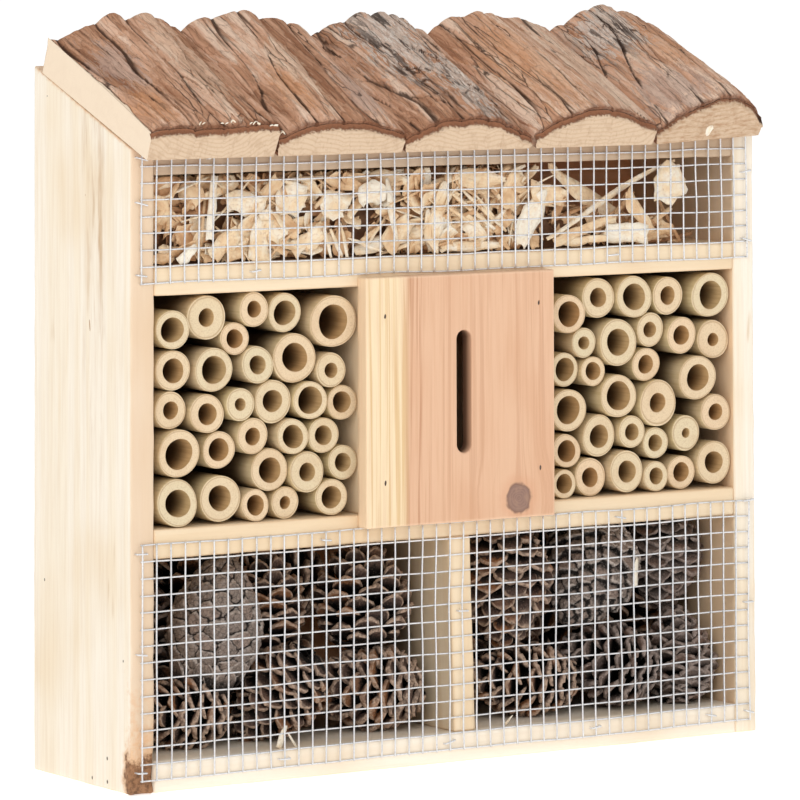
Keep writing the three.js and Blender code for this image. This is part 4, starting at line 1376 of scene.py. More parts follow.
def cone_material(name, deep, body, face, tint, rim, contrast, cracked):
    """Roots in painted shade, a body colour, a paler outer face and a light rim of painted highlight."""
    graph = Graph(name, roughness=0.68, specular=0.3)
    coarse = graph.noise(graph.place, 420.0, 4.0, 0.62)
    fine = graph.noise(graph.place, 1500.0, 3.0, 0.6)
    reach, tone = graph.roughen(graph.field("reach"), coarse, 0.08), graph.field("tone")
    worn = graph.times(graph.fade(reach, 0.76, 0.92), graph.fade(tone, 0.0, 1.0, 0.3, contrast))
    cleft = graph.fade(graph.cell_edges(graph.place, 520.0), 0.0, 0.07, 1.0, 0.0)
    # Painted highlight on the scales' edges.
    light = graph.times(graph.fade(graph.field("edge"), 0.55, 1.0), contrast)
    light = graph.times(light, graph.fade(coarse, 0.38, 0.6, 0.25, 1.0))
    # Painted shade: the scale roots fade into the deep colour.
    colour = graph.blend(graph.fade(reach, 0.6, 0.86), deep, body)
    colour = graph.blend(worn, colour, graph.blend(graph.fade(tone, 0.5, 0.9), face, tint))
    colour = graph.blend(graph.times(cleft, cracked), colour, deep)
    colour = graph.blend(light, colour, rim)
    colour = graph.coats(colour, (coarse, 0.52, 0.7, 0.6, deep), (fine, 0.56, 0.74, 0.4, rim))
    graph.set(colour, "Base Color")
    graph.bump(coarse, 0.6 * MM, 0.8)
    graph.bump(fine, 0.3 * MM, 0.7)
    return graph.material


def add_cones():
    materials = {
        colour: cone_material(f"{colour}_cone", *looks) for colour, (_, *looks) in CONE_LOOKS.items()
    }
    floor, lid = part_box("bottom_board")[1].z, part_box("lower_shelf")[0].z
    front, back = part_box("lower_shelf")[0].y + 0.6 * MM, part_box("back_panel")[0].y
    walls = {
        "left": (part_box("left_side_panel")[1].x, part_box("cone_divider")[0].x),
        "right": (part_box("cone_divider")[1].x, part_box("right_side_panel")[0].x),
    }

    def settle_cones(heap, name, colour, low, high, *nodes):
        """Keeps the cones inside their compartment and makes them one piece."""
        for points in heap.points:
            np.clip(points, low, high, out=points)
        settle_piece(heap.piece(name, materials[colour]), CONE_LOOKS[colour][0], *nodes)

    for side, cones in CONES.items():
        left, right = walls[side]
        low, high = np.array([left, front, floor]), np.array([right, back, lid])
        for number, (style, colour) in enumerate(cones, 1):
            node = f"pine_cone_{side}_{number}"
            heap = Heap()
            cone_scales(heap, cone_frame(node), style, node)
            if "skin" in style:
                closed_cone(heap, cone_frame(node), style["skin"], node + " skin")
            settle_cones(heap, node + "_scales", colour, low, high, node)
        heap = Heap()
        corner = np.array([left, back, floor])
        room = np.array([right - left, front - back, lid - floor])
        for number, (middle, length, radius, turn) in enumerate(REAR_CONES[:REAR_COUNT[side]]):
            lean = math.radians(turn)
            tip = np.array([math.cos(lean), -REAR_LEAN, math.sin(lean)]) / math.hypot(1, REAR_LEAN)
            place = corner + room * middle, tip, length, radius
            cone_scales(heap, place, OPEN, f"{side} rear {number}")
        settle_cones(heap, f"rear_cones_{side}", "brown", low, high)


# ---- Wood chips ----

LOOSE_CHIPS = 950
MASS_ACROSS = 120
MASS_STEPS = 22
CLEARANCE = 0.3 * MM
# The heap thins out to the right of this place; the first stretch past it slopes down.
THIN_FROM = 170 * MM
THIN_SLOPE = 20 * MM
THIN_SUNK = 9 * MM
SPARSE_FROM = 185 * MM
MOVED_LEFT = 70 * MM

# Large chips against the wire, from the heap's lower left corner: x, z, length, width, angle from level in
# degrees, depth behind the wire, bend, twist, brightness. Lengths in millimetres.
LARGE_CHIPS = [
    (27.2, 25, 25, 3.8, 83, 0.6, 0.2, 0.2, 0.98),
    (42, 23, 18, 9, -5, 1.2, 0.5, 0.3, 0.86),
    (55, 15, 13, 9, -50, 1.4, 0.6, 0.2, 0.78),
    (63.7, 23.8, 14, 12, 10, 0.8, 0.6, 0.1, 0.9),
    (83.3, 22.4, 12, 11, -28, 0.8, 0.7, 0.2, 0.84),
    (101.3, 25.8, 12, 8, 15, 0.5, 0.3, 0.1, 1.0),
    (110.7, 18.4, 26, 3.0, -80, 0.4, 0.3, 0.4, 0.95),
    (44, 6.5, 18, 9, 58, 1.0, 0.7, 0.3, 0.72),
    (50, 8, 17, 9, 78, 1.8, 0.7, 0.3, 0.8),
    (33, 7, 15, 7, 40, 1.6, 0.4, 0.2, 0.7),
    (15.4, 2.2, 10, 4.2, 35, 0.3, 0.2, 0.1, 1.0),
    (80, 5.5, 13, 1.5, 108, 0.4, 0.1, 0.2, 0.9),
    (84, 5, 13, 1.6, 118, 0.6, 0.1, 0.2, 0.85),
    (88, 6, 14, 1.4, 98, 0.8, 0.1, 0.2, 0.8),
    (71, 5, 16, 8, 30, 1.6, 0.5, 0.3, 0.74),
    (98, 5, 17, 1.6, -20, 0.9, 0.1, 0.3, 0.8),
    (114, 4.5, 16, 9, 42, 1.2, 0.7, 0.3, 0.66),
    (129.7, 6.5, 18, 5, -75, 0.9, 0.5, 0.5, 0.8),
    (134, 18, 23, 6.5, 82, 0.8, 0.6, 0.4, 0.86),
    (149, 2.2, 27, 4.2, 1, 0.5, 0.5, 0.2, 0.84),
    (154, 30, 23, 6.5, -4, 1.6, 0.4, 0.2, 0.7),
    (150, 17, 25, 1.5, -38, 0.5, 0.1, 0.2, 0.84),
    (154, 18, 24, 1.5, -42, 0.8, 0.1, 0.2, 0.78),
    (158, 16, 22, 1.4, -46, 1.1, 0.1, 0.2, 0.74),
    (146, 14, 20, 1.6, -30, 1.2, 0.2, 0.3, 0.7),
    (169, 24, 15, 8, 70, 2.4, 0.8, 0.4, 0.55),
    (187, 22.5, 18, 9, -10, 2.2, 0.4, 0.3, 0.68),
    (178.5, 6.6, 25, 10, 62, 0.3, 0.5, 0.3, 1.0),
    (225.8, 4.2, 21, 8.5, -6, 0.6, 0.4, 0.1, 1.0),
    (218.4, 18.2, 76, 7.5, -25.4, 1.2, 0.7, 0.6, 0.7),
    (218.7, 21.4, 74, 2.4, 28, 1.0, 0.5, 1.2, 0.84),
    (247.8, 28, 17, 14, 80, 1.6, 0.5, 0.2, 0.84),
    (205, 7, 34, 5, 18, 2.8, 0.7, 0.5, 0.66),
    (205, 3, 22, 3.5, 4, 1.4, 0.5, 0.3, 0.72),
    (232, 14, 22, 6, -50, 3.0, 0.8, 0.6, 0.6),
]
# Pale splinters caught in the pine cones: x, z, length, width and angle from level in degrees.
SPLINTERS = [
    (91.1, 69.3, 11.5, 2.4, 80),
    (-79.8, 16.5, 9.5, 3.0, 62),
    (-75.0, 14.6, 8.0, 1.0, -55),
    (28, 14.2, 5, 1.0, 40),
]


def chip_shape(heap, middle, size, axes, rng, bend, twist, torn, curl, tone, pointed=1.0):
    """One chip: a thin torn strip, bent along its length and cupped across it.

    size is its length, width and thickness, and axes their directions; bend and twist are turns from end to
    end in radians.
    """
    length, width, thick = size
    rows = 25 if length > 40 * MM else 9 if length > 9 * MM else 6
    columns = 5 if width > 3 * MM else 3
    local, faces = block_shell([np.linspace(0, 1, rows), np.linspace(0, 1, columns), [0.0, 1.0]])
    l, w, h = local.T
    salt = rng.uniform(0, 900)
    edge_noise = layered_noise(beside(l * 3.2, w * 1.7, salt), 2, 3)
    end_noise = layered_noise(beside(w * 3.1, np.round(l) * 5, salt + 9), 2, 4)
    taper = 1 - pointed * rng.uniform(0.1, 0.75) * rising(l - 0.55, 0.45) ** 1.5
    taper *= 1 - pointed * rng.uniform(0.0, 0.6) * rising(0.4 - l, 0.4) ** 1.5
    y = (w - 0.5) * width * taper * (1 + torn * edge_noise)
    x = (l - 0.5) * length + torn * 0.35 * width * end_noise * np.abs(2 * l - 1) ** 3
    thinner_ends = 0.55 + 0.45 * np.sin(math.pi * np.clip(l, 0.02, 0.98))
    thickness = thick * thinner_ends * (1 - 0.6 * np.abs(2 * w - 1) ** 2)
    z = (h - 0.5) * thickness
    if abs(bend) > 1e-3:
        radius = length / bend
        arc = x / radius
        x, z = (radius - z) * np.sin(arc), radius - (radius - z) * np.cos(arc)
    z = z + curl * (y / width) ** 2 * width
    turn = twist * (l - 0.5)
    y, z = y * np.cos(turn) - z * np.sin(turn), y * np.sin(turn) + z * np.cos(turn)
    z = z + 0.05 * width * layered_noise(beside(l * 2.3, w * 2.9, salt + 40), 2, 6)
    heap.add(middle + beside(x, y, z) @ axes, faces, tone=tone, side=w, inner=0.0)


def chip_axes(yaw, pitch, roll):
    """Directions of a chip that lies against the wire at yaw, pitch and roll 0, its length to the right."""
    turn = Matrix.Rotation(yaw, 3, "Y") @ Matrix.Rotation(pitch, 3, "X") @ Matrix.Rotation(roll, 3, "Z")
    return np.array([turn @ Vector((1, 0, 0)), turn @ Vector((0, 0, 1)), turn @ Vector((0, -1, 0))])


class ChipRoom:
    """The room the chips lie in and the heap's top line, both read from the CAD."""

    def __init__(self):
        points = node_points("wood_chips")
        self.low, self.high = points.min(0), points.max(0)
        self.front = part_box("upper_shelf")[0].y
        corners = np.unique(np.round(points[:, [X, Z]], 5), axis=0)
        top = corners[corners[:, 1] > self.low[Z] + 1 * MM]
        top = top[np.argsort(top[:, 0])]
        self.line = np.append(top[:, 0], self.high[X]), np.append(top[:, 1], self.low[Z])
        under_deck = board_corners("roof_deck", Y, Z)[0, 0, 0, Z]
        self.walls_low = np.array([self.low[X], self.front + 0.2 * MM, self.low[Z]]) + CLEARANCE
        self.walls_high = np.array([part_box("right_side_panel")[0].x, self.high[Y], under_deck]) - CLEARANCE

    def top(self, x):
        """The heap's top at x, sunk where the heap thins out."""
        sunk = THIN_SUNK * min(1.0, max(0.0, (x - self.low[X] - THIN_FROM) / THIN_SLOPE))
        return np.interp(x, *self.line) - sunk

    def keep_last(self, heap):
        """Moves the last chip of the heap back inside the walls."""
        points = heap.points[-1]
        too_low = np.maximum(0, self.walls_low - points.min(0))
        points += too_low - np.maximum(0, points.max(0) - self.walls_high)
        np.clip(points, self.walls_low - CLEARANCE / 2, self.walls_high + CLEARANCE / 2, out=points)


def packed_mass(heap, room):
    """The dense mass behind the loose chips: its lumpy front face and its lid, painted dark as painted
    shade.
    """
    across = np.linspace(room.low[X], room.high[X] - 6 * MM, MASS_ACROSS)
    deep = np.linspace(room.front + 9 * MM, room.high[Y], MASS_STEPS)
    rows = []
    for x in across:
        up = np.linspace(room.low[Z], max(room.top(x) - 5 * MM, room.low[Z] + 1 * MM), MASS_STEPS)
        rows += [beside(x, deep[0], up), beside(x, deep, up[-1])[1:]]
    points = np.concatenate(rows)
    lump = layered_noise(points / [5 * MM, 4 * MM, 3 * MM], 3, 55)
    points += beside(lump * 0.4, -1.4 * lump, 0.9 * lump) * MM
    points[:, Z] = np.maximum(points[:, Z], room.low[Z])
    heap.add(points, sheet_faces(MASS_ACROSS, 2 * MASS_STEPS - 1), tone=0.1, side=0.5, inner=1.0)


def loose_chip_look(rng):
    """The size in millimetres, bend, twist, curl, pitch and roll of a flake, a strip or a curled shaving."""
    kind = rng.random()
    yaw = rng.gauss(0.0, 0.8)
    if kind < 0.52:
        size = rng.uniform(8, 17), rng.uniform(3.5, 9), rng.uniform(0.4, 0.9)
        bend, twist, curl = rng.uniform(0.1, 0.9), rng.uniform(-0.5, 0.5), rng.uniform(-0.25, 0.25)
        pitch, roll = rng.uniform(-0.7, 0.7), rng.uniform(-0.5, 0.5)
    elif kind < 0.92:
        size = rng.uniform(10, 30), rng.uniform(0.9, 2.6), rng.uniform(0.5, 1.2)
        bend, twist, curl = rng.uniform(-0.3, 0.4), rng.uniform(-1.0, 1.0), 0.0
        pitch, roll = rng.uniform(-1.2, 1.2), rng.uniform(-0.4, 0.4)
    else:
        size = rng.uniform(12, 22), rng.uniform(3, 5), rng.uniform(0.35, 0.6)
        bend, twist, curl = rng.uniform(1.2, 2.6), rng.uniform(-1.5, 1.5), rng.uniform(-0.2, 0.2)
        pitch, roll = rng.uniform(-0.6, 0.6), rng.uniform(-0.5, 0.5)
    return np.array(size) * MM, chip_axes(-yaw, pitch, roll), bend, twist, curl


def loose_chip(heap, room, rng, number):
    """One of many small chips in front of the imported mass; every fifth one lies on top of the heap."""
    x = rng.uniform(room.low[X] + 2 * MM, room.high[X] - 4 * MM)
    if x > room.low[X] + SPARSE_FROM and rng.random() < 0.62:
        x -= MOVED_LEFT
    layer = rng.random()
    if x > room.low[X] + SPARSE_FROM:
        layer = 0.45 + 0.55 * layer
    y = room.front + (3.4 + 10 * layer) * MM
    top = min(room.top(x) + 2 * MM, room.walls_high[Z] + CLEARANCE)
    if number % 5 == 4:
        y = rng.uniform(room.front + 6 * MM, room.high[Y] - 6 * MM)
        z = top - rng.uniform(0, 5) * MM
    else:
        z = room.low[Z] + (top - room.low[Z]) * rng.random() ** (0.9 if number < 800 else 2.5)
    size, axes, bend, twist, curl = loose_chip_look(rng)
    # Chips farther back are given darker tones: painted shade.
    tone = rng.uniform(0.4, 0.9) if layer < 0.35 else rng.uniform(0.0, 0.6)
    chip_shape(heap, np.array([x, y, z]), size, axes, rng, bend, twist, rng.uniform(0.15, 0.45), curl, tone)
    room.keep_last(heap)


def add_chips(material):
    room = ChipRoom()
    rng = random.Random("wood chips")
    heap = Heap()
    packed_mass(heap, room)
    for number in range(LOOSE_CHIPS):
        loose_chip(heap, room, rng, number)
    for x, z, length, width, angle, depth, bend, twist, tone in LARGE_CHIPS:
        place = np.array([room.low[X] + x * MM, room.front + (0.9 + 0.8 * depth) * MM, room.low[Z] + z * MM])
        axes = chip_axes(-math.radians(angle), rng.uniform(-0.15, 0.15), rng.uniform(-0.12, 0.12))
        pointed = 0.35 if 6 < width < 20 and length < 20 else 1.0
        size = length * MM, width * MM, 0.8 * MM
        chip_shape(heap, place, size, axes, rng, bend, twist, 0.42, 0.1, tone, pointed)
        room.keep_last(heap)
    settle_piece(heap.piece("wood_chip_heap", material), "wood_chips", "wood_chips")
    heap = Heap()
    for x, z, length, width, angle in SPLINTERS:
        place = np.array([x * MM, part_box("lower_shelf")[0].y + 3 * MM, z * MM])
        size = length * MM, width * MM, 0.6 * MM
        axes = chip_axes(-math.radians(angle), 0.1, 0.1)
        chip_shape(heap, place, size, axes, rng, 0.3, 0.3, 0.25, 0.1, 1.0)
    settle_piece(heap.piece("pale_splinters", material), "wood_chips")


def chip_material():
    graph = Graph("wood_chips", roughness=0.7, specular=0.3)
    fibre = graph.noise(graph.place, 700.0, 4.0, 0.65)
    cloud = graph.noise(graph.place, 170.0, 3.0, 0.55)
    across = graph.times(graph.field("side"), 23.0)
    stripes = graph.math("SINE", graph.plus(across, graph.times(cloud, 22.0)))
    tone = graph.roughen(graph.field("tone"), cloud, 0.16)
    wood = graph.ramp(
        tone, (134, 94, 64), (200, 154, 112), (236, 200, 158), (250, 226, 190), (255, 247, 230),
    )
    colour = graph.coats(
        wood,
        (stripes, 0.2, 1.0, 0.14, (206, 160, 118)),
        (fibre, 0.52, 0.76, 0.5, (176, 124, 84)),
    )
    # Painted shade: the packed mass is painted dark.
    graph.set(graph.blend(graph.times(graph.field("inner"), 0.85), colour, (86, 56, 38)), "Base Color")
    graph.bump(stripes, 0.06 * MM, 0.4)
    graph.bump(fibre, 0.2 * MM, 0.7)
    return graph.material


# ---- The slotted plate and the brads ----

# The plate's face lies this far behind the CAD face.
PLATE_PLANED = 1.2 * MM
PLATE_ROUNDING = 0.7 * MM
BACK_ROUNDING = 0.3 * MM
POINTS_PER_SIDE = 90
KNOT_FROM_CORNER = 72.8 * MM, 7.8 * MM
PLATE_BRADS = 4
# Brad heads in the side panels, from the panel's foot: millimetres back from the front edge and up.
SIDE_BRADS = [(67, 268), (69, 209), (69, 76), (67, 5), (30.5, 3), (18.5, 3), (18.6, 12), (6, 51), (8, 245.5)]
# Short brown resin marks on the left panel: millimetres back from the front edge and up, and their length.
RESIN_MARKS = [(37, 251, 4), (36, 230, 3), (22.5, 208.5, 3.5), (32.5, 179, 5)]


def slot_outline(node):
    """The CAD plate's slot in the XZ plane: its x, the ends of its middle line and its half width."""
    points = node_points(node)
    middle = (points.min(0) + points.max(0)) / 2
    away = np.abs(points - middle)
    slot = points[(away[:, X] < 12 * MM) & (away[:, Z] < 32 * MM)]
    low, high = slot.min(0), slot.max(0)
    half = (high[X] - low[X]) / 2
    return (low[X] + high[X]) / 2, low[Z] + half, high[Z] - half, half


def plate_outlines(low, high, slot):
    """The plate's edge in the XZ plane, the slot's rim with as many points, and the rim's directions."""
    steps = np.linspace(0, 1, POINTS_PER_SIDE, endpoint=False)
    corner, size = np.array([low.x, low.z]), np.array([high.x - low.x, high.z - low.z])
    square = np.concatenate([beside(1, steps), beside(1 - steps, 1), beside(0, 1 - steps), beside(steps, 0)])
    edge = corner + square * size
    # The plate's upright sides belong to the slot's straight sides, its top and bottom to the round ends.
    x, bottom, top, half = slot
    across, up = (2 * square - 1).T
    straight = np.abs(across) > np.abs(up) - 1e-9
    turn = across * math.pi / 2
    outward_x = np.where(straight, np.sign(across), np.sin(turn))
    outward_z = np.where(straight, 0, np.sign(up) * np.cos(turn))
    outward = beside(outward_x, outward_z)
    half_circle = np.where(up > 0, top, bottom)
    centre_line = np.where(straight, (bottom + top) / 2 + up * (top - bottom) / 2, half_circle)
    return edge, beside(x, centre_line) + outward * half, outward


def plate_piece(material):
    """The plate as one ring of quads between the slot's rim and its own edge, both rounded."""
    node = "slot_plate"
    low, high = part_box(node)
    front, back = low.y + PLATE_PLANED, high.y
    edge, rim, outward = plate_outlines(low, high, slot_outline(node))
    loops, walls = [], []

    def ring(share, y, inset=0.0, widened=0.0):
        """A loop at a share of the way from the edge to the rim."""
        start = np.clip(edge, [low.x + inset, low.z + inset], [high.x - inset, high.z - inset])
        flat = start * (1 - share) + (rim + outward * widened) * share
        loops.append(beside(flat[:, 0], y, flat[:, 1]))
        walls.append(np.full(len(flat), float(share == 1)))

    arc = np.linspace(0, math.pi / 2, 6)
    rounding = [
        (PLATE_ROUNDING * (1 - math.sin(angle)), PLATE_ROUNDING * (1 - math.cos(angle))) for angle in arc
    ]
    ring(0, back, BACK_ROUNDING)
    for y in np.linspace(back - BACK_ROUNDING, front + PLATE_ROUNDING, 5):
        ring(0, y)
    for rise, inset in rounding[1:]:
        ring(0, front + rise, inset)
    for share in np.linspace(0.015, 0.985, 46):
        ring(share, front, PLATE_ROUNDING, PLATE_ROUNDING)
    for rise, inset in rounding[::-1]:
        ring(1, front + rise, 0, inset)
    for y in np.linspace(front + 1.0 * MM, back - 0.2 * MM, 6):
        ring(1, y)
    for share in np.linspace(1, 0, 8)[:-1]:
        ring(share, back, BACK_ROUNDING)
    points = np.concatenate(loops)
    faces = sheet_faces(len(loops) + 1, len(edge), wrap=True) % len(points)
    # The face has faint ridges along the grain and is dented round the brads.
    on_front = falling(points[:, Y] - front, 0.4 * MM)
    ridges = layered_noise(beside(points[:, X] / (1.6 * MM), points[:, Z] / (40 * MM), 0), 2, 61)
    swell = layered_noise(points / (25 * MM), 2, 62)
    points[:, Y] += on_front * (0.04 * ridges + 0.06 * swell) * MM
    for number in range(1, PLATE_BRADS + 1):
        nail_low, nail_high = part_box(f"{node}_nail_{number}")
        centre = (nail_low + nail_high) / 2
        near = np.hypot((points[:, X] - centre.x) / (1.1 * MM), (points[:, Z] - centre.z) / (2.2 * MM))
        points[:, Y] += on_front * 0.35 * MM * hill(near, 1)
    to_edge = np.minimum(points - [low.x, 0, low.z], [high.x, 0, high.z] - points)[:, [X, Z]].min(1)
    # Painted shade: the slot's wall darkens with depth behind the face.
    deep = np.concatenate(walls) * rising(points[:, Y] - front, back - front)
    fields = {"edge": falling(to_edge, 1.8 * MM), "deep": deep}
    settle_piece(add_piece(node + "_wood", points, faces, material, fields), "plate_wood", node)


def plate_material():
    """Sapwood on the left, pink heartwood on the right, upright grain and one round knot."""
    low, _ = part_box("slot_plate")
    graph = Graph("slot_plate_fir", roughness=0.6, specular=0.3)
    x, z = graph.axis(graph.place, X), graph.axis(graph.place, Z)
    away_x = graph.math("SUBTRACT", x, low.x + KNOT_FROM_CORNER[0])
    away_z = graph.math("SUBTRACT", z, low.z + KNOT_FROM_CORNER[1])
    wobble = graph.noise(graph.place, 240.0, 2.0)
    span = graph.math("SQRT", graph.plus(graph.times(away_x, away_x), graph.times(away_z, away_z)))
    span = graph.roughen(span, wobble, 0.5 * MM)
    # The grain swings round the knot and drifts a little over the plate.
    swing = graph.times(graph.times(graph.fade(span, 3 * MM, 26 * MM, 1.0, 0.0), away_x), 0.55)
    drift = graph.noise(graph.scaled(graph.place, z=0.05), 34.0, 2.0)
    across = graph.roughen(graph.math("SUBTRACT", x, swing), drift, 2.2 * MM)
    line = graph.node("ShaderNodeCombineXYZ", {0: across, 2: graph.times(z, 0.012)}).outputs[0]
    rings = graph.fade(graph.noise(line, 330.0, 3.0, 0.7), 0.5, 0.64)
    band = graph.times(rings, graph.fade(x, low.x + 22 * MM, low.x + 40 * MM, 1.0, 0.4))
    fibre = graph.noise(graph.scaled(graph.place, z=0.03), 900.0, 3.0, 0.6)
    cloud = graph.noise(graph.scaled(graph.place, z=0.4), 42.0, 3.0)
    resin = graph.noise(graph.scaled(graph.place, z=0.09), 150.0, 2.0)
    sap = graph.blend(band, (243, 220, 184), (226, 194, 148))
    heart = graph.blend(band, (226, 184, 152), (194, 144, 112))
    heart = graph.coats(heart, (cloud, 0.42, 0.72, 0.55, (216, 168, 134)))
    colour = graph.coats(
        sap,
        (graph.roughen(across, drift, 1.2 * MM), low.x + 16.2 * MM, low.x + 19.5 * MM, 1.0, heart),
        (resin, 0.66, 0.76, 0.5, (200, 148, 116)),
        (fibre, 0.4, 0.75, 0.22, (196, 142, 106)),
    )
    # The knot: its own rings, a dark collar and a halo in the wood round it.
    knot = graph.fade(span, 5.2 * MM, 6.8 * MM, 1.0, 0.0)
    knot_rings = graph.math("SINE", graph.times(span, TAU / (1.15 * MM)))
    knot_wood = graph.blend(graph.fade(knot_rings, -0.4, 1.0, 0.0, 0.35), (152, 120, 106), (124, 96, 84))
    knot_wood = graph.coats(knot_wood, (wobble, 0.45, 0.7, 0.5, (174, 138, 116)))
    collar = graph.times(graph.fade(span, 5.0 * MM, 5.9 * MM), knot)
    knot_wood = graph.blend(collar, knot_wood, (96, 68, 58))
    colour = graph.blend(graph.fade(span, 6 * MM, 12 * MM, 0.4, 0.0), colour, (214, 158, 124))
    colour = graph.coats(
        graph.blend(knot, colour, knot_wood),
        # Painted light: the plate's rounded edges and top are painted paler.
        (graph.field("edge"), 0.3, 1.0, 0.5, (246, 214, 182)),
        # Painted shade deep in the slot.
        (graph.field("deep"), 0.02, 0.8, 0.9, (92, 62, 46)),
    )
    graph.set(colour, "Base Color")
    graph.set(graph.fade(fibre, 0.2, 0.8, 0.5, 0.7), "Roughness")
    graph.bump(fibre, 0.12 * MM, 0.7)
    graph.bump(rings, 0.07 * MM, 0.6)
    return graph.material


def speckled_material(name, colours, speck, relief, **finish):
    """One colour with specks of another; speck is the noise's scale, detail and roughness."""
    graph = Graph(name, **finish)
    noise = graph.noise(graph.place, *speck)
    graph.set(graph.blend(graph.fade(noise, 0.4, 0.65), *colours), "Base Color")
    graph.bump(noise, *relief)
    return graph.material


def brad_shape(heap, place, inward, long_axis, width, length, depth):
    """A brad: a small oblong head, slightly domed, on a tapering shank."""
    inward, long_axis = np.array(inward), np.array(long_axis)
    sides = 16
    angles = circle(sides)
    short_axis = np.cross(inward, long_axis)
    oblong = 0.5 * (
        np.outer(np.cos(angles) * length, long_axis) + np.outer(np.sin(angles) * width, short_axis)
    )
    # Stations along the brad: millimetres below the face and share of the head's size.
    stations = [
        (-0.06, 0.05), (-0.05, 0.6), (-0.01, 0.95), (0.05, 1.0), (0.6, 0.7), (0.9 * depth / MM, 0.6),
        (depth / MM, 0.02),
    ]
    points = np.concatenate([place + inward * along * MM + oblong * size for along, size in stations])
    heap.add(points, sheet_faces(len(stations), sides, wrap=True))


def add_plate_and_brads():
    plate_piece(plate_material())
    steel = speckled_material(
        "brad_steel", [(96, 84, 78), (72, 52, 42)], (1600.0, 4.0, 0.65), (0.08 * MM, 0.7),
        roughness=0.45, metallic=0.8, specular=0.5,
    )
    resin = speckled_material(
        "resin_marks", [(190, 142, 96), (146, 98, 60)], (1500.0, 3.0, 0.6), (0.06 * MM, 0.6),
        roughness=0.5, specular=0.4,
    )
    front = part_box("slot_plate")[0].y + PLATE_PLANED
    for number in range(1, PLATE_BRADS + 1):
        node = f"slot_plate_nail_{number}"
        low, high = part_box(node)
        heap = Heap()
        place = np.array([(low.x + high.x) / 2, front + 0.25 * MM, (low.z + high.z) / 2])
        brad_shape(heap, place, (0, 1, 0), (0.12, 0, 0.99), 0.95 * MM, 2.3 * MM, high.y - front - 1 * MM)
        settle_piece(heap.piece(node + "_brad", steel), "nail_steel", node)
    for side, inward in (("left", 1), ("right", -1)):
        low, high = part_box(f"{side}_side_panel")
        foot = np.array([(low.x if inward > 0 else high.x) + inward * 0.05 * MM, low.y, low.z])
        heap = Heap()
        for back, height in SIDE_BRADS:
            place = foot + np.array([0, back, height]) * MM
            brad_shape(heap, place, (inward, 0, 0), (0, 0.1, 0.99), 1.1 * MM, 1.6 * MM, 9 * MM)
        settle_piece(heap.piece(f"{side}_side_brads", steel), "nail_steel")
    low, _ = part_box("left_side_panel")
    heap = Heap()
    for back, height, length in RESIN_MARKS:
        place = np.array([low.x + 0.05 * MM, low.y + back * MM, low.z + height * MM])
        brad_shape(heap, place, (1, 0, 0), (0, 0.12, 0.99), 0.7 * MM, length * MM, 1 * MM)
    settle_piece(heap.piece("left_side_resin_marks", resin), "side_wood")


# ---- Floor, light and camera ----

FLOOR_LEVEL = -0.0004
FLOOR_RADII = [0.002, 0.4, 1.0, 3.0, 9.0, 40.0]
FLOOR_SIDES = 96
SEEN_WHITE = (1.0, 1.0, 1.0, 1)
WORLD_COLOUR = (1.0, 0.995, 0.985, 1)
WORLD_LIGHT = 0.53
# The camera was fitted to the corners of the boards; angles in degrees.
CAMERA_PLACE = Vector((-1.19906, -1.86837, 0.34102))
CAMERA_TURN, CAMERA_TILT, CAMERA_ROLL = (math.radians(angle) for angle in (-32.696, -2.974, -0.167))
LENS_RATIO = 5393.50 / 800
LENS_RISE = 0.1424
SENSOR_WIDTH = 36


def add_floor():
    """A plain pale disc under the house."""
    graph = Graph("floor", roughness=0.9, specular=0.1)
    graph.set((238, 238, 237), "Base Color")
    graph.set((255, 255, 255), "Emission Color")
    graph.set(0.6, "Emission Strength")
    graph.bump(graph.noise(graph.place, 900.0, 2.0), 0.02 * MM, 1.0)
    angles = circle(FLOOR_SIDES)
    points = np.concatenate(
        [beside(r * np.cos(angles), r * np.sin(angles), FLOOR_LEVEL) for r in FLOOR_RADII]
    )
    faces = sheet_faces(len(FLOOR_RADII), FLOOR_SIDES, wrap=True)[:, ::-1]
    add_piece("floor", points, faces, graph.material, {})


def add_world():
    """A soft white sky; the camera sees it as plain white."""
    world = bpy.data.worlds.new("studio")
    world.use_nodes = True
    tree = world.node_tree
    tree.nodes.clear()
    output = tree.nodes.new("ShaderNodeOutputWorld")
    choose = tree.nodes.new("ShaderNodeMixShader")
    rays = tree.nodes.new("ShaderNodeLightPath")
    tree.links.new(rays.outputs["Is Camera Ray"], choose.inputs[0])
    for socket, colour, strength in ((1, WORLD_COLOUR, WORLD_LIGHT), (2, SEEN_WHITE, 1.0)):
        background = tree.nodes.new("ShaderNodeBackground")
        background.inputs["Color"].default_value = colour
        background.inputs["Strength"].default_value = strength
        tree.links.new(background.outputs[0], choose.inputs[socket])
    tree.links.new(choose.outputs[0], output.inputs["Surface"])
    bpy.context.scene.world = world


def backwards(turn, rise):
    """The direction from the house towards a viewer at a turn from the front and a rise over level."""
    return Vector((math.sin(turn) * math.cos(rise), -math.cos(turn) * math.cos(rise), math.sin(rise)))


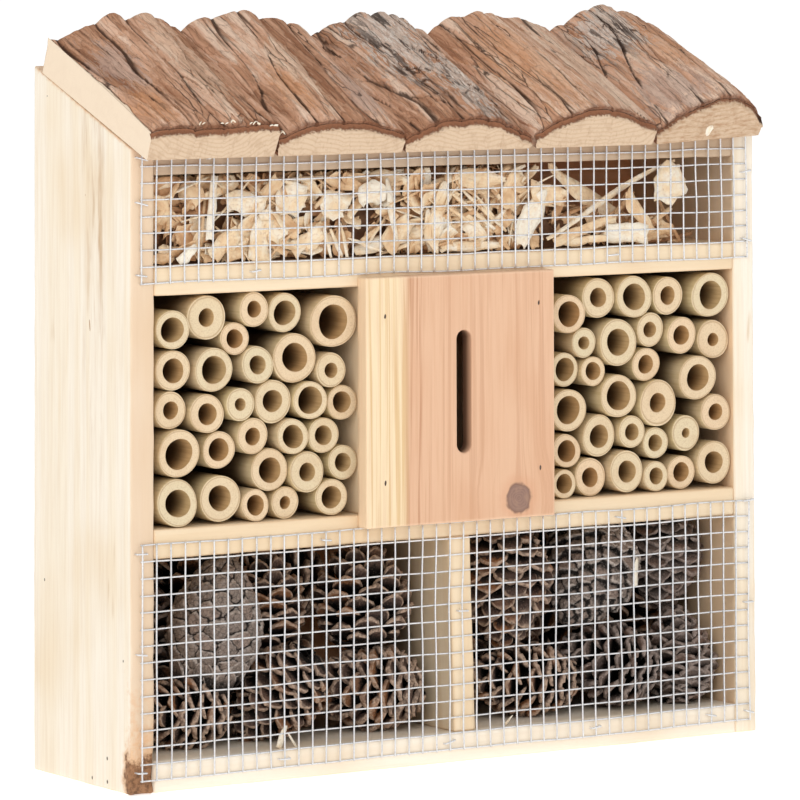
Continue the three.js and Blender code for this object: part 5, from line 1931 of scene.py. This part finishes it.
def add_soft_light(name, azimuth, elevation, distance, size, power, colour):
    """A square soft box that looks at the middle of the house."""
    light = bpy.data.lights.new(name, "AREA")
    light.shape = "SQUARE"
    light.size = size
    light.energy = power
    light.color = colour
    lamp = bpy.data.objects.new(name, light)
    bpy.context.scene.collection.objects.link(lamp)
    back = backwards(math.radians(azimuth), math.radians(elevation))
    lamp.location = (cad_low + cad_high) / 2 + back * distance
    lamp.rotation_euler = back.to_track_quat("Z", "Y").to_euler()


def add_camera():
    """A view camera: it looks slightly up, and a rising lens plate brings the house into the picture.

    The rise is a shear in the parent's inverse matrix, because the camera has no lens shift of its own.
    """
    back = backwards(CAMERA_TURN, CAMERA_TILT)
    level = Vector((math.cos(CAMERA_TURN), math.sin(CAMERA_TURN), 0))
    plumb = back.cross(level)
    right = level * math.cos(CAMERA_ROLL) + plumb * math.sin(CAMERA_ROLL)
    up = plumb * math.cos(CAMERA_ROLL) - level * math.sin(CAMERA_ROLL)
    lens = bpy.data.cameras.new("camera")
    lens.sensor_width = SENSOR_WIDTH
    lens.lens = LENS_RATIO * SENSOR_WIDTH * math.sqrt(1 + LENS_RISE**2)
    lens.clip_start = 0.1
    lens.clip_end = 50
    camera = bpy.data.objects.new("camera", lens)
    stand = bpy.data.objects.new("camera_stand", None)
    bpy.context.scene.collection.objects.link(stand)
    bpy.context.scene.collection.objects.link(camera)
    camera.parent = stand
    columns = [right, up, back + LENS_RISE * up, CAMERA_PLACE]
    rows = [[column[row] for column in columns] for row in range(3)]
    camera.matrix_parent_inverse = Matrix(rows + [[0, 0, 0, 1]])
    bpy.context.scene.camera = camera


def add_studio():
    add_floor()
    add_world()
    add_soft_light("key", -48, 29, 2.2, 1.5, 16.4, (1.0, 0.985, 0.96))
    add_soft_light("fill", 26, 10, 2.4, 1.6, 8.0, (1.0, 0.985, 0.965))
    view = bpy.context.scene.view_settings
    view.view_transform = "Standard"
    view.look = "None"
    add_camera()


chip_wood = chip_material()
add_boards()
add_slabs(chip_wood)
add_wires()
add_canes()
add_cones()
add_chips(chip_wood)
add_plate_and_brads()
add_studio()
